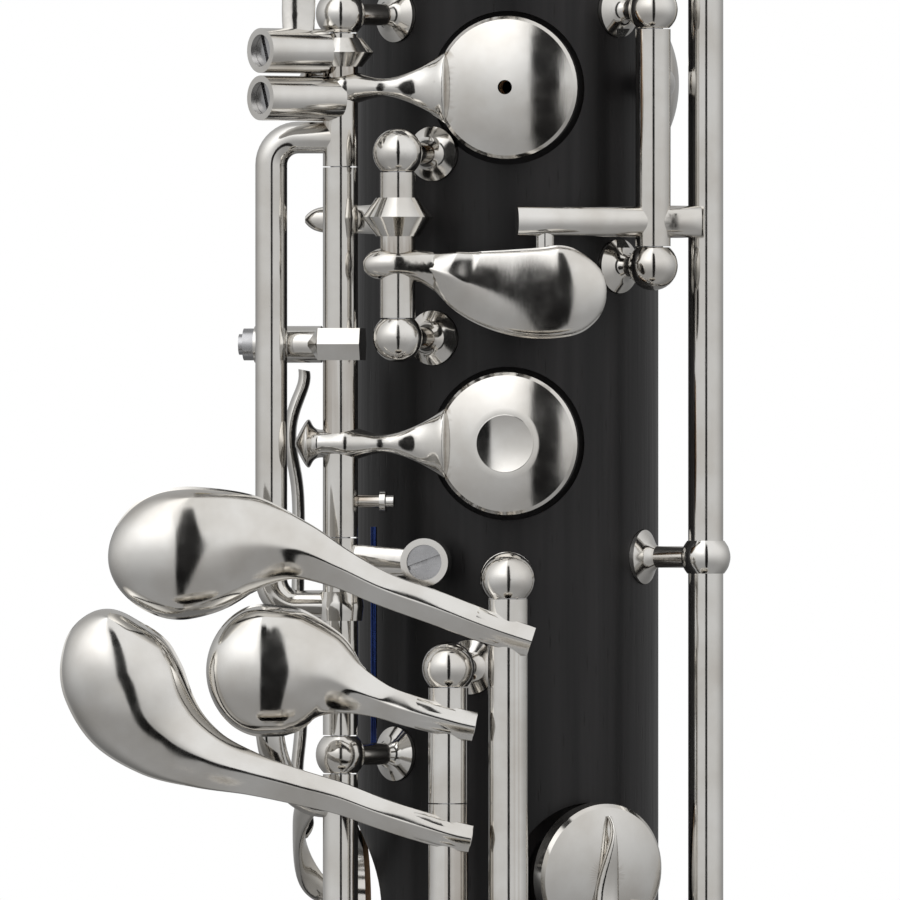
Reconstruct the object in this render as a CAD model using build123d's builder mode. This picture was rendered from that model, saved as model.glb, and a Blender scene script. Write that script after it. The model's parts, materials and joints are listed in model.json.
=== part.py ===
from build123d import *

# A bass clarinet, in millimetres, as separate named pieces.
#
# +Z runs up the body, the finger side faces -Y and the player is on the +Y side. The origin is the
# tip of the floor peg, on the body's own axis. An angle is measured round the body from the front
# (-Y), positive towards +X.

import os
from dataclasses import dataclass
from math import asin, atan2, cos, degrees, radians, sin, sqrt

# ---------------------------------------------------------------- driving dimensions
BODY_RADIUS = 19.0
BORE_RADIUS = 11.75
LOWER_LENGTH = 355.0
UPPER_LENGTH = 290.0

POST_HEIGHT = 9.3  # rod line above the wood, for most hinges
TALL_POST_HEIGHT = 11.0  # rod line of the little-finger keys
SHORT_POST_HEIGHT = 5.9
BALL_RADIUS = 3.1
BALL_FLAT = 2.3  # half the width of a post's ball between its flats
FOOT_RADIUS = 3.4
SEAT_SINK = 0.3  # how deep a flat round seat is let into the wood, below the edge of its circle
SHANK_RADIUS = 1.3
SHANK_LENGTH = 3.5

ROD_RADIUS = 1.25
ROD_CLEARANCE = 0.05  # radial, between a steel rod and a key's tube
TUBE_RADIUS = 2.2
STOUT_TUBE_RADIUS = 2.5
END_GAP = 0.15  # between neighbouring tubes, and between a tube and a post

CUP_RADIUS = 8.9
LOW_CUP_RADIUS = 10.4
SMALL_CUP_RADIUS = 6.2
CUP_WALL = 0.7
CUP_LIP = 0.9  # the pad stands this far out of its cup
CUP_SIDE = 3.0
CUP_CROWN = 4.2
PAD_THICKNESS = 2.6
PAD_CLEARANCE = 0.1  # left between a shut pad and its seat
RECESS_CLEARANCE = 0.7  # round a cup, in the wood
RECESS_DEPTH = 0.8  # of the recess below the pad's seat
SEAT_RIM = 1.2  # width of the raised seat round a tone hole
PAD_LIFT = 3.0  # travel at the middle of a pad
VENT_RADIUS = 0.9
DISH_RADIUS = 4.3
DISH_DEPTH = 0.55

TENON_RADIUS = 14.8
SOCKET_RADIUS = 16.0
CORK_CLEARANCE = 0.05
TENON_LENGTH = 19.0
RING_HEIGHT = 8.0
RING_WALL = 1.6

PEG_RADIUS = 4.0
PEG_SHOWN = 90.0
PEG_INSERTED = 45.0
PEG_CLEARANCE = 0.08
RECEIVER_LENGTH = 60.0
RECEIVER_WALL = 2.2
BOW_RADIUS = 52.0
BOW_BEND = 165.0
BOW_START_RADIUS = 17.0
BOW_MID_RADIUS = 18.7  # of the bow's tube where the peg's receiver meets it
BELL_WALL = 1.2
BELL_RIM_RADIUS = 60.0
FLARE_LENGTH = 75.0
COLLAR_LENGTH = 24.0

NECK_RADIUS = 10.5
NECK_WALL = 1.1
NECK_TENON_RADIUS = 13.0
NECK_SOCKET_RADIUS = 14.0
NECK_RISE = 30.0
NECK_CURVE = 46.0
NECK_BEND = 100.0
NECK_BACK_CURVE = 60.0
NECK_BACK_BEND = 25.0
NECK_STRAIGHT = 24.0
NECK_END = 34.0
MOUTHPIECE_LENGTH = 92.0
MOUTHPIECE_RADIUS = 14.6
MOUTHPIECE_OVERLAP = 19.0
REED_TABLE = 10.6  # from the mouthpiece's axis to its flat table
REED_WIDTH = 13.0
REED_THICKNESS = 3.0

# ---------------------------------------------------------------- heights that follow
BOW_TOP = PEG_SHOWN + RECEIVER_LENGTH + sqrt((BOW_RADIUS + BOW_MID_RADIUS) ** 2 - BOW_RADIUS**2)
LOWER_BOTTOM = BOW_TOP + COLLAR_LENGTH
LOWER_TOP = LOWER_BOTTOM + LOWER_LENGTH
UPPER_TOP = LOWER_TOP + UPPER_LENGTH
STACK = LOWER_TOP - 120.0  # middle of the right hand's keys
LEFT_STACK = LOWER_TOP + 150.0  # middle of the left hand's keys

ROD_LINE = BODY_RADIUS + POST_HEIGHT
TALL_LINE = BODY_RADIUS + TALL_POST_HEIGHT
SHORT_LINE = BODY_RADIUS + SHORT_POST_HEIGHT
UP = Vector(0, 0, 1)

os.makedirs("parts", exist_ok=True)


def save(piece, name):
    """Labels a finished piece and writes it as one STEP file."""
    piece.label = name
    export_step(piece, f"parts/{name}.step")


def save_group(pieces, name):
    """Writes several separate solids of the same kind as one file."""
    save(Compound(children=list(pieces)), name)


# ---------------------------------------------------------------- places round the body
def outward(angle):
    """Unit vector that points straight out of the body."""
    return Vector(sin(radians(angle)), -cos(radians(angle)), 0)


def sideways(angle):
    """Unit vector round the body, to the right as seen from outside."""
    return Vector(cos(radians(angle)), sin(radians(angle)), 0)


def place(angle, radius, z):
    """Point at an angle, a distance from the axis and a height."""
    return outward(angle) * radius + UP * z


def face_plane(angle, radius, z):
    """Plane that faces straight out: local x sideways, local y up."""
    return Plane(origin=place(angle, radius, z), x_dir=sideways(angle), z_dir=outward(angle))


def profile_plane(angle, radius, z):
    """Plane for turned profiles about the outward line: local x sideways, local y outward."""
    return Plane(origin=place(angle, radius, z), x_dir=sideways(angle), z_dir=(0, 0, -1))


def flat_radius(half_width):
    """Distance from the axis of a flat seat of this half width let into the round body."""
    return sqrt(BODY_RADIUS**2 - half_width**2) - SEAT_SINK


@dataclass(frozen=True)
class HingeLine:
    """A hinge rod that runs up the body: its angle, distance from the axis and post heights."""

    angle: float
    radius: float
    posts: tuple
    ball: float = BALL_RADIUS
    guides: tuple = ()  # heights of posts that only steady a long tube

    def at(self, z):
        """Point on the rod's axis."""
        return place(self.angle, self.radius, z)

    def beside(self, dx, forward, z):
        """Point beside the rod, in plain steps along +X and towards the viewer (-Y)."""
        return self.at(z) + Vector(dx, -forward, 0)

    def axis(self):
        """The rod's axis, pointing up."""
        return Axis(self.at(0), (0, 0, 1))

    def above(self, post):
        """Where a tube ends just above a post."""
        return self.posts[post] + BALL_FLAT + END_GAP

    def below(self, post):
        """Where a tube ends just below a post."""
        return self.posts[post] - BALL_FLAT - END_GAP


@dataclass(frozen=True)
class Seat:
    """A tone hole's pad seat: its angle, its height and the radius of the cup that shuts it."""

    angle: float
    z: float
    cup: float = CUP_RADIUS
    hole: float = 5.6

    @property
    def radius(self):
        """Distance of the seat from the body's axis."""
        return flat_radius(self.cup + RECESS_CLEARANCE)

    def over(self, height):
        """Point above the middle of the seat."""
        return place(self.angle, self.radius + height, self.z)

    def axis(self):
        """Line through the hole, pointing out."""
        return Axis(self.over(0), outward(self.angle))


@dataclass(frozen=True)
class CrossPivot:
    """A short hinge that lies across the body between two posts."""

    angle: float
    radius: float
    z: float
    half: float = 6.6
    ball: float = 2.6
    foot: float = 2.6

    def centre(self):
        """Middle of the pivot."""
        return place(self.angle, self.radius, self.z)

    def axis(self):
        """The pivot's axis, pointing sideways."""
        return Axis(self.centre(), sideways(self.angle))

    def across(self, step):
        """Plane square to the pivot, a step along it from its middle."""
        return Plane(origin=self.centre() + sideways(self.angle) * step, x_dir=(0, 0, 1),
                     z_dir=sideways(self.angle))

    def lean(self, sign):
        """Angle round the body of one of the two posts."""
        return self.angle + sign * degrees(atan2(self.half, self.radius))

    def reach(self):
        """Distance of the posts' balls from the body's axis."""
        return sqrt(self.radius**2 + self.half**2)


# ---------------------------------------------------------------- hinge lines and tone holes
STACK_LINE = HingeLine(-47.5, ROD_LINE, (STACK - 76, STACK - 38, STACK + 54.4, STACK + 98))
SPOON_LINE = HingeLine(-29.3, ROD_LINE - 0.3, (STACK + 14, STACK + 37))
SIDE_VENT_LINE = HingeLine(46.8, SHORT_LINE, (STACK + 23, STACK + 55))
LONG_LINE = HingeLine(63.5, ROD_LINE - 0.6, (STACK - 213, STACK - 66, STACK + 98), guides=(STACK - 13.4,))
PINKY_LEFT_LINE = HingeLine(-14.3, TALL_LINE, (STACK - 150, STACK - 27.1), 3.3)
PINKY_RIGHT_LINE = HingeLine(0.0, TALL_LINE, (STACK - 196, STACK - 16.1), 3.4)
LOWER_LINES = (STACK_LINE, SPOON_LINE, SIDE_VENT_LINE, LONG_LINE, PINKY_LEFT_LINE, PINKY_RIGHT_LINE)

LEFT_LINE = HingeLine(47.5, ROD_LINE, (LEFT_STACK - 52, LEFT_STACK + 62))
TRILL_LINE = HingeLine(-66.0, ROD_LINE, (LEFT_STACK - 104, LEFT_STACK + 100))
THROAT_LINE = HingeLine(-30.0, ROD_LINE, (LEFT_STACK + 80, LEFT_STACK + 114))
C_SHARP_LINE = HingeLine(14.0, TALL_LINE, (LEFT_STACK - 102, LEFT_STACK - 60))
THUMB_LINE = HingeLine(133.0, ROD_LINE, (LEFT_STACK + 18, LEFT_STACK + 56))
LEFT_LOW_LINE = HingeLine(63.5, ROD_LINE - 0.6, (LEFT_STACK - 138, LEFT_STACK - 84))
UPPER_LINES = (LEFT_LINE, TRILL_LINE, THROAT_LINE, C_SHARP_LINE, THUMB_LINE, LEFT_LOW_LINE)

INDEX_SEAT = Seat(0.0, STACK + 86.0)
VENT_SEAT = Seat(0.0, STACK + 45.2)
RING_SEAT = Seat(0.0, STACK + 0.8)
SIDE_SEAT = Seat(93.0, STACK + 46.0, SMALL_CUP_RADIUS, 3.6)
ROCKER_SEAT = Seat(32.0, STACK - 53.7)
LOW_F_SEAT = Seat(-92.0, STACK - 57.5, LOW_CUP_RADIUS, 7.0)
LOW_E_SEAT = Seat(-60.0, STACK - 124.0, LOW_CUP_RADIUS, 7.5)
F_SHARP_SEAT = Seat(-44.0, STACK - 174.0, LOW_CUP_RADIUS, 7.5)
LOW_E_FLAT_SEAT = Seat(107.0, STACK - 180.0, LOW_CUP_RADIUS, 7.5)
LOWER_SEATS = (INDEX_SEAT, VENT_SEAT, RING_SEAT, SIDE_SEAT, ROCKER_SEAT, LOW_F_SEAT, LOW_E_SEAT,
               F_SHARP_SEAT, LOW_E_FLAT_SEAT)

UPPER_INDEX_SEAT = Seat(0.0, LEFT_STACK + 44.0)
UPPER_MIDDLE_SEAT = Seat(0.0, LEFT_STACK + 8.0)
UPPER_RING_SEAT = Seat(0.0, LEFT_STACK - 28.0)
TRILL_SEAT = Seat(-112.0, LEFT_STACK + 86.0, SMALL_CUP_RADIUS, 3.4)
THROAT_SEAT = Seat(14.0, LEFT_STACK + 98.0, SMALL_CUP_RADIUS, 3.4)
C_SHARP_SEAT = Seat(-32.0, LEFT_STACK - 78.0, CUP_RADIUS, 5.0)
THUMB_SEAT = Seat(179.0, LEFT_STACK + 38.0, CUP_RADIUS, 5.0)
REGISTER_SEAT = Seat(180.0, LEFT_STACK + 112.0, SMALL_CUP_RADIUS, 2.4)
UPPER_SEATS = (UPPER_INDEX_SEAT, UPPER_MIDDLE_SEAT, UPPER_RING_SEAT, TRILL_SEAT, THROAT_SEAT,
               C_SHARP_SEAT, THUMB_SEAT, REGISTER_SEAT)

ROCKER_PIVOT = CrossPivot(32.0, BODY_RADIUS + 7.0, STACK - 79.0)
REGISTER_PIVOT = CrossPivot(180.0, BODY_RADIUS + 7.0, LEFT_STACK + 91.0)


# ---------------------------------------------------------------- shapes that keys share
def add_disc(plane, radius, amount, mode=Mode.ADD):
    """A round bar or hole square to a plane."""
    with BuildSketch(plane) as disc:
        Circle(radius)
    extrude(disc.sketch, amount=amount, mode=mode)


def add_tube(line, low, high, outer=TUBE_RADIUS):
    """A key's hinge tube between two heights, still solid. Its bore is cut last."""
    add_disc(Plane(line.at(low)), outer, high - low)


def add_collar(line, z, half, reach):
    """A ring with a sharp edge round a tube, as two cones base to base."""
    neck = TUBE_RADIUS + 0.5
    with BuildSketch(Plane(origin=line.at(z), x_dir=(1, 0, 0), z_dir=(0, -1, 0))) as profile:
        with BuildLine():
            Polyline((0, -half), (neck, -half), (reach, 0), (neck, half), (0, half), close=True)
        make_face()
    revolve(profile.sketch, axis=Axis(line.at(z), (0, 0, 1)))


def add_facet_block(line, z):
    """A block round a tube with a ridge along its front and back, pointed on the left."""
    six = ((-3.3, 0), (-2.5, -2.0), (2.5, -2.0), (3.3, 0), (2.5, 2.0), (-2.5, 2.0))
    for (start, small), (end, large) in (((-4.1, 0.12), (-2.5, 1.0)), ((-2.5, 1.0), (2.8, 1.0))):
        faces = []
        for dx, size in ((start, small), (end, large)):
            with BuildSketch(Plane(origin=line.beside(dx, 0, z), x_dir=(0, 1, 0), z_dir=(1, 0, 0))) as section:
                with BuildLine():
                    Polyline(*[(size * y, size * up) for y, up in six], close=True)
                make_face()
            faces.append(section.sketch)
        loft(sections=faces, ruled=True)


def cut_bores(line, low, high):
    """The running bore of a key's tubes, through whatever was joined on to them."""
    add_disc(Plane(line.at(low)), ROD_RADIUS + ROD_CLEARANCE, high - low, Mode.SUBTRACT)


def add_loft(stations, across):
    """A smooth bar through stations (point, half width, half thickness).

    The width lies in the plane of the bar's own direction and across."""
    sections = []
    for i, (point, half_width, half_thick) in enumerate(stations):
        before = stations[max(i - 1, 0)][0]
        after = stations[min(i + 1, len(stations) - 1)][0]
        ahead = (after - before).normalized()
        side = (across - ahead * across.dot(ahead)).normalized()
        with BuildSketch(Plane(origin=point, x_dir=side, z_dir=ahead)) as section:
            Ellipse(half_width, half_thick)
        sections.append(section.sketch)
    loft(sections=sections)


# share of the way from the rod to the cup's rim, half height, half thickness
ARM_SHAPE = ((-0.43, 0.4, 0.4), (-0.24, 1.95, 2.35), (0.0, 2.1, 2.8), (0.17, 1.9, 2.35), (0.3, 1.35, 1.6),
             (0.45, 1.2, 1.3), (0.6, 1.65, 1.2), (0.8, 2.8, 1.1), (1.0, 4.4, 1.1))
# the same for an arm whose hinge is on its right
LEFTWARD_ARM_SHAPE = ((-0.36, 0.5, 0.5), (-0.16, 1.9, 1.6), (0.0, 2.1, 1.9), (0.28, 1.55, 1.5),
                      (0.55, 1.6, 1.3), (0.8, 2.8, 1.2), (1.0, 4.4, 1.1))


def add_arm(line, seat):
    """A flared arm from a hinge tube to the rim of a cup, pointed behind the tube."""
    start = line.at(seat.z)
    target = seat.over(CUP_SIDE - 0.9)
    reach = (target - start).length - seat.cup + 1.2
    ahead = (target - start).normalized()
    widen = seat.cup / CUP_RADIUS
    stations = [(start + ahead * (reach * share), half * (widen if share > 0.7 else 1), thick)
                for share, half, thick in (ARM_SHAPE if far_side(line, seat) > 0 else LEFTWARD_ARM_SHAPE)]
    add_loft(stations, UP)


def crown_drop(seat, away):
    """How far a cup's ball-shaped crown has fallen, this far from its middle."""
    reach, rise = seat.cup - 0.4, CUP_CROWN - CUP_SIDE
    ball = (reach**2 + rise**2) / (2 * rise)
    return ball - sqrt(ball**2 - away**2)


def add_cup(seat, way=1):
    """A domed cup over its seat, still solid. The hollow for its pad is cut last.

    The profile is turned from the side that way points to, -1 for the left."""
    plane = Plane(origin=seat.over(0), x_dir=sideways(seat.angle) * way, z_dir=UP * -way)
    with BuildSketch(plane) as profile:
        with BuildLine():
            Polyline((0, CUP_CROWN), (0, CUP_LIP), (seat.cup, CUP_LIP), (seat.cup, CUP_SIDE - 0.4),
                     (seat.cup - 0.4, CUP_SIDE))
            ThreePointArc((seat.cup - 0.4, CUP_SIDE), (seat.cup / 2, CUP_CROWN - crown_drop(seat, seat.cup / 2)),
                          (0, CUP_CROWN))
        make_face()
    revolve(profile.sketch, axis=seat.axis())


def cut_pad_hollow(seat):
    """The hollow of a cup, which its pad fills."""
    depth = PAD_CLEARANCE + PAD_THICKNESS
    add_disc(face_plane(seat.angle, seat.radius, seat.z), seat.cup - CUP_WALL, depth, Mode.SUBTRACT)


def far_side(line, seat):
    """+1 when the hinge is on the left of the cup and -1 when it is on the right."""
    return 1 if (seat.over(0) - line.at(seat.z)).dot(sideways(seat.angle)) > 0 else -1


def open_turn(line, seat, travel=PAD_LIFT):
    """Turn, in degrees about +Z, that moves the middle of a pad this far off its seat."""
    arm = seat.over(0) - line.at(seat.z)
    return -far_side(line, seat) * degrees(asin(travel / arm.length))


def pad_disc(seat, vent=False):
    """The leather-faced pad of a cup, over its seat."""
    with BuildPart() as pad:
        with BuildSketch(face_plane(seat.angle, seat.radius + PAD_CLEARANCE, seat.z)):
            Circle(seat.cup - CUP_WALL - 0.02)
            if vent:
                Circle(VENT_RADIUS, mode=Mode.SUBTRACT)
        extrude(amount=PAD_THICKNESS)
    return pad.part


def cut_vent(seat):
    """A small hole through the middle of a cup."""
    add_disc(face_plane(seat.angle, seat.radius, seat.z), VENT_RADIUS, 2 * CUP_CROWN, Mode.SUBTRACT)


def cut_dish(seat):
    """A shallow round hollow in a cup's crown for a fingertip."""
    ball = (DISH_RADIUS**2 + DISH_DEPTH**2) / (2 * DISH_DEPTH)
    with Locations(seat.over(CUP_CROWN - DISH_DEPTH + ball)):
        Sphere(ball, mode=Mode.SUBTRACT)


def plateau_key(name, line, seat, low, high):
    """A key with one tube, one flared arm and one cup, and the pad in it. It rests open."""
    turn = open_turn(line, seat)
    with BuildPart() as key:
        add_tube(line, low, high)
        add_arm(line, seat)
        add_cup(seat, far_side(line, seat))
        cut_pad_hollow(seat)
        cut_bores(line, low - 5, high + 5)
    save(key.part.rotate(line.axis(), turn), f"{name}_key")
    save(pad_disc(seat).rotate(line.axis(), turn), f"{name}_pad")


def drop_touch(line, z, direction, length, half_width, forward):
    """A drop-shaped touch beside a rod: direction is +1 for the right and -1 for the left."""
    shape = ((-0.1, 0.5, 0.7), (0.0, 0.55, 1.3), (0.2, 0.45, 1.3), (0.4, 0.42, 1.2), (0.58, 0.62, 1.2),
             (0.75, 0.95, 1.3), (0.88, 1.0, 1.3), (0.97, 0.78, 1.1), (1.03, 0.3, 0.8))
    side = sideways(line.angle) * direction
    out = outward(line.angle)
    stations = []
    for share, width, thick in shape:
        rise = forward * min(1.0, max(0.0, 2 * share))
        stations.append((line.at(z) + side * (length * share) + out * rise, half_width * width, thick))
    add_loft(stations, UP)


def lever_key(name, line, seat, touch_z, direction, length, half_width, forward):
    """A long key that rests shut: a touch on one side of its rod and a cup on the other."""
    low, high = line.above(0), line.below(1)
    with BuildPart() as key:
        add_tube(line, low, high)
        add_arm(line, seat)
        add_cup(seat, far_side(line, seat))
        cut_pad_hollow(seat)
        drop_touch(line, touch_z, direction, length, half_width, forward)
        cut_bores(line, low - 5, high + 5)
    save(key.part, f"{name}_key")
    save(pad_disc(seat), f"{name}_pad")


# ---------------------------------------------------------------- right hand, finger keys
VENT_TUBE_LOW = STACK + 35.4
LOWER_TUBE_TOP = STACK - 11.0
BAR_RADIUS = 2.0
BAR_ASIDE = 8.7  # of the bypass bar, from its rod
BAR_TOP = STACK + 39.0
BAR_LOW = STACK - 19.5
BAR_BEND = 3.4
LUG_RADIUS = 2.3
LUG_LENGTH = 11.4
LUG_BEHIND = BAR_RADIUS + LUG_RADIUS - 0.1
LUG_Z = STACK + 13.2
ADJUSTER_RING_RADIUS = 3.0
ADJUSTER_RADIUS = 2.2
ADJUSTER_ASIDE = 11.0
ADJUSTER_Z = STACK - 14.0
LINK_BARRELS = ((STACK + 49.7, 3.0), (STACK + 43.8, 1.0))  # height, and where each starts
BARREL_RADIUS = 2.8
BARREL_BORE = 2.0
BARREL_LENGTH = 12.4
BARREL_LEAN = 0.7071
STACK_TURN = open_turn(STACK_LINE, VENT_SEAT)


def front_plane(line, dx, forward, z):
    """Plane beside a rod that faces the viewer."""
    return Plane(origin=line.beside(dx, forward, z), x_dir=(1, 0, 0), z_dir=(0, -1, 0))


def left_plane(line, dx, forward, z):
    """Plane beside a rod that faces left."""
    return Plane(origin=line.beside(dx, forward, z), x_dir=(0, 1, 0), z_dir=(-1, 0, 0))


def barrel_plane(line, out, z):
    """Plane across a linkage barrel, this far out from its rod."""
    return Plane(origin=line.beside(-BARREL_LEAN * out, BARREL_LEAN * out, z), x_dir=(0, 0, 1), z_dir=(-1, -1, 0))


def slotted_screw(plane, radius, length):
    """A plain screw that faces along a plane's normal, with a slot across its head."""
    with BuildPart() as screw:
        add_disc(plane, radius, -length)
        with BuildSketch(plane.offset(0.4)) as slot:
            Rectangle(radius * 2.2, 0.6, rotation=20)
        extrude(slot.sketch, amount=-1.3, mode=Mode.SUBTRACT)
    return screw.part


def vented_key():
    """The vented key, with the bar that carries its motion past the ring-finger key."""
    line, seat = STACK_LINE, VENT_SEAT
    top, low = line.below(2), line.above(1)
    with BuildLine() as path:
        FilletPolyline(line.beside(0, 0, BAR_TOP), line.beside(-BAR_ASIDE, 0.2, BAR_TOP),
                       line.beside(-BAR_ASIDE, 0.2, BAR_LOW), line.beside(0, 0, BAR_LOW), radius=BAR_BEND)
    with BuildPart() as key:
        add_tube(line, VENT_TUBE_LOW, top)
        add_tube(line, low, LOWER_TUBE_TOP)
        add_collar(line, STACK + 49.6, 1.8, 4.2)
        add_collar(line, BAR_LOW, 1.8, 2.9)
        add_arm(line, seat)
        add_cup(seat, far_side(line, seat))
        with BuildSketch(Plane(origin=path.line @ 0, z_dir=path.line % 0)) as section:
            Circle(BAR_RADIUS)
        sweep(section.sketch, path=path.line)
        # a flat finger that carries the slotted adjusting screw
        add_disc(front_plane(line, ADJUSTER_ASIDE, 3.2, ADJUSTER_Z), ADJUSTER_RING_RADIUS, -3.4)
        add_loft([(line.beside(0, 0, ADJUSTER_Z), 2.4, 1.0), (line.beside(5.0, 1.0, ADJUSTER_Z), 2.0, 0.8),
                  (line.beside(9.5, 1.6, ADJUSTER_Z), 1.6, 0.7)], UP)
        add_disc(front_plane(line, ADJUSTER_ASIDE, 9.0, ADJUSTER_Z), ADJUSTER_RADIUS, -20, Mode.SUBTRACT)
        for z, start in LINK_BARRELS:
            add_disc(barrel_plane(line, start, z), BARREL_RADIUS, BARREL_LENGTH - start)
        add_loft([(line.beside(-4.4, 5.2, STACK + 49.0), 0.9, 1.6), (line.beside(-4.6, 4.6, STACK + 52.4), 0.8, 2.0),
                  (line.beside(-4.6, 4.2, STACK + 57.0), 0.8, 2.1), (line.beside(-4.4, 3.9, STACK + 61.5), 0.7, 1.9)],
                 Vector(0.3, -1, 0))
        for z, _ in LINK_BARRELS:
            add_disc(barrel_plane(line, 4.6, z), BARREL_BORE, 20, Mode.SUBTRACT)
        cut_pad_hollow(seat)
        cut_vent(seat)
        cut_bores(line, low - 5, top + 5)
    save(key.part.rotate(line.axis(), STACK_TURN), "vented_key")
    save(pad_disc(seat, True).rotate(line.axis(), STACK_TURN), "vented_pad")
    screws = [slotted_screw(front_plane(line, ADJUSTER_ASIDE, 2.9, ADJUSTER_Z), ADJUSTER_RADIUS - 0.02, 4.6)]
    screws += [slotted_screw(barrel_plane(line, BARREL_LENGTH - 0.8, z), BARREL_BORE - 0.03, 6.4)
               for z, _ in LINK_BARRELS]
    save_group([screw.rotate(line.axis(), STACK_TURN) for screw in screws], "adjusting_screws")


def ring_finger_key():
    """The dished ring-finger key, with the lug behind the bypass bar that shuts the vented key too."""
    line, seat = STACK_LINE, RING_SEAT
    low, high = LOWER_TUBE_TOP + END_GAP, VENT_TUBE_LOW - END_GAP
    with BuildPart() as key:
        add_tube(line, low, high)
        add_facet_block(line, LUG_Z)
        add_disc(left_plane(line, -3.0, -LUG_BEHIND, LUG_Z), LUG_RADIUS, LUG_LENGTH - 3.0)
        add_loft([(line.beside(0, 0, LUG_Z), 1.9, 1.9),
                  (line.beside(-1.2, -LUG_BEHIND * 0.6, LUG_Z), 1.9, 1.9),
                  (line.beside(-3.6, -LUG_BEHIND, LUG_Z), 1.9, 1.9)], UP)
        add_arm(line, seat)
        add_cup(seat, far_side(line, seat))
        cut_dish(seat)
        # the pin that the needle spring pushes on
        add_disc(left_plane(line, 6.6, -1.0, STACK - 6.4), 0.8, 6.6)
        add_disc(left_plane(line, 5.6, -1.0, STACK - 6.4), 1.35, 0.7)
        cut_pad_hollow(seat)
        cut_bores(line, low - 5, high + 5)
    save(key.part.rotate(line.axis(), STACK_TURN), "ring_finger_key")
    save(pad_disc(seat).rotate(line.axis(), STACK_TURN), "ring_finger_pad")
    with BuildPart() as nut:
        add_disc(left_plane(line, -LUG_LENGTH, -LUG_BEHIND, LUG_Z), 2.0, 1.4)
        add_disc(left_plane(line, -LUG_LENGTH - 1.4, -LUG_BEHIND, LUG_Z), 1.3, 0.6)
    save(nut.part.rotate(line.axis(), STACK_TURN), "lug_nut")


# steps from the rod along X, height above the stack's middle, half width, half thickness
SPOON_SPINE = ((-4.3, 22.9, 0.4, 0.4), (-2.5, 23.1, 1.9, 2.3), (0.0, 23.2, 2.1, 2.75), (2.3, 23.0, 2.0, 2.2),
               (5.2, 22.2, 2.5, 1.4), (9.0, 20.8, 4.0, 1.4), (14.0, 19.7, 5.2, 1.6),
               (19.0, 19.5, 5.4, 1.6), (23.4, 20.6, 4.3, 1.4), (25.6, 21.6, 2.2, 1.0))
SPOON_FORWARD = 1.2
VENT_ARM_Z = STACK + 28.5
VENT_PIN_X = 4.6


def middle_finger_spoon():
    """The spoon between two cups: a touchpiece on its own short hinge."""
    line = SPOON_LINE
    low, high = line.above(0), line.below(1)
    with BuildPart() as key:
        add_tube(line, low, high)
        add_collar(line, STACK + 29.0, 2.4, 4.4)
        add_loft([(line.beside(0, 0, STACK + 28.8), 1.9, 1.4), (line.beside(-1.6, -5.2, STACK + 28.8), 1.8, 1.0),
                  (line.beside(-3.9, -8.7, STACK + 28.8), 1.8, 0.9), (line.beside(-7.2, -10.4, STACK + 28.8), 1.7, 0.9),
                  (line.beside(-9.9, -10.9, STACK + 28.8), 1.5, 0.8), (line.beside(-11.6, -11.0, STACK + 28.8), 0.4, 0.4)],
                 UP)
        add_loft([(line.beside(dx, SPOON_FORWARD * min(1, max(0, dx / 6)), STACK + dz), half, thick)
                  for dx, dz, half, thick in SPOON_SPINE], UP)
        cut_bores(line, low - 5, high + 5)
    save(key.part, "middle_finger_spoon")


def side_vent_key():
    """The lever that the spoon pushes, whose small cup opens a vent on the right side."""
    line, seat = SIDE_VENT_LINE, SIDE_SEAT
    low, high = line.above(0), line.below(1)
    side = sideways(seat.angle)
    rim = seat.over(CUP_SIDE - 1.0) - side * (seat.cup - 0.8)
    knee = place((line.angle + seat.angle) / 2 - 3, BODY_RADIUS + 2.8, seat.z)
    with BuildPart() as key:
        add_tube(line, low, high)
        add_loft([(line.beside(6.0, -0.4, VENT_ARM_Z), 1.9, 1.0), (line.beside(4.2, -0.2, VENT_ARM_Z), 2.0, 1.6),
                  (line.beside(0, 0, VENT_ARM_Z), 2.0, 1.9), (line.beside(-5.0, 2.6, VENT_ARM_Z), 1.9, 1.3),
                  (line.beside(-10.0, 4.9, VENT_ARM_Z), 1.9, 1.3), (line.beside(-15.0, 6.1, VENT_ARM_Z), 1.9, 1.2),
                  (line.beside(-17.0, 6.5, VENT_ARM_Z), 1.9, 1.2)], UP)
        pin_top = Vector(VENT_PIN_X, line.at(0).Y - 5.35, VENT_ARM_Z)
        add_disc(Plane(pin_top), 1.2, -7.6)
        add_loft([(line.at(seat.z), 2.0, 1.7), (line.at(seat.z) * 0.5 + knee * 0.5, 1.7, 1.2),
                  (knee, 1.6, 1.0), (rim, 2.4, 0.9), (rim + side * 1.6, 2.6, 0.8)], UP)
        add_cup(seat)
        cut_pad_hollow(seat)
        cut_bores(line, low - 5, high + 5)
    save(key.part, "side_vent_key")
    save(pad_disc(seat), "side_vent_pad")


# ---------------------------------------------------------------- right hand, little finger
# each touchpiece: steps from its rod along X, height above the stack's middle, half width, forward
TOP_TOUCH = ((1.7, -23.4, 1.7, 1.4), (-2.0, -22.2, 1.9, 1.9), (-8.4, -19.8, 2.0, 1.6),
             (-15.9, -17.1, 2.0, 0.8), (-20.9, -14.7, 2.4, 0.4), (-26.0, -12.5, 3.6, 0.2),
             (-32.0, -11.7, 6.1, 0.0), (-38.3, -12.5, 8.0, 0.0), (-43.4, -13.3, 7.1, 0.0),
             (-47.2, -14.0, 4.6, 0.0), (-49.2, -14.6, 1.8, 0.0))
MIDDLE_TOUCH = ((3.2, -34.2, 1.6, 1.4), (0.2, -33.7, 1.8, 1.9), (-4.7, -32.4, 1.9, 1.6),
                (-8.5, -31.1, 2.1, 1.0), (-12.2, -29.6, 3.3, 0.8), (-15.4, -28.2, 5.8, 0.8),
                (-18.9, -27.6, 7.8, 0.8), (-22.6, -27.4, 8.2, 0.8), (-26.4, -27.3, 6.6, 0.8),
                (-28.9, -27.2, 3.9, 0.8), (-30.0, -27.1, 1.6, 0.8))
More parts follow.
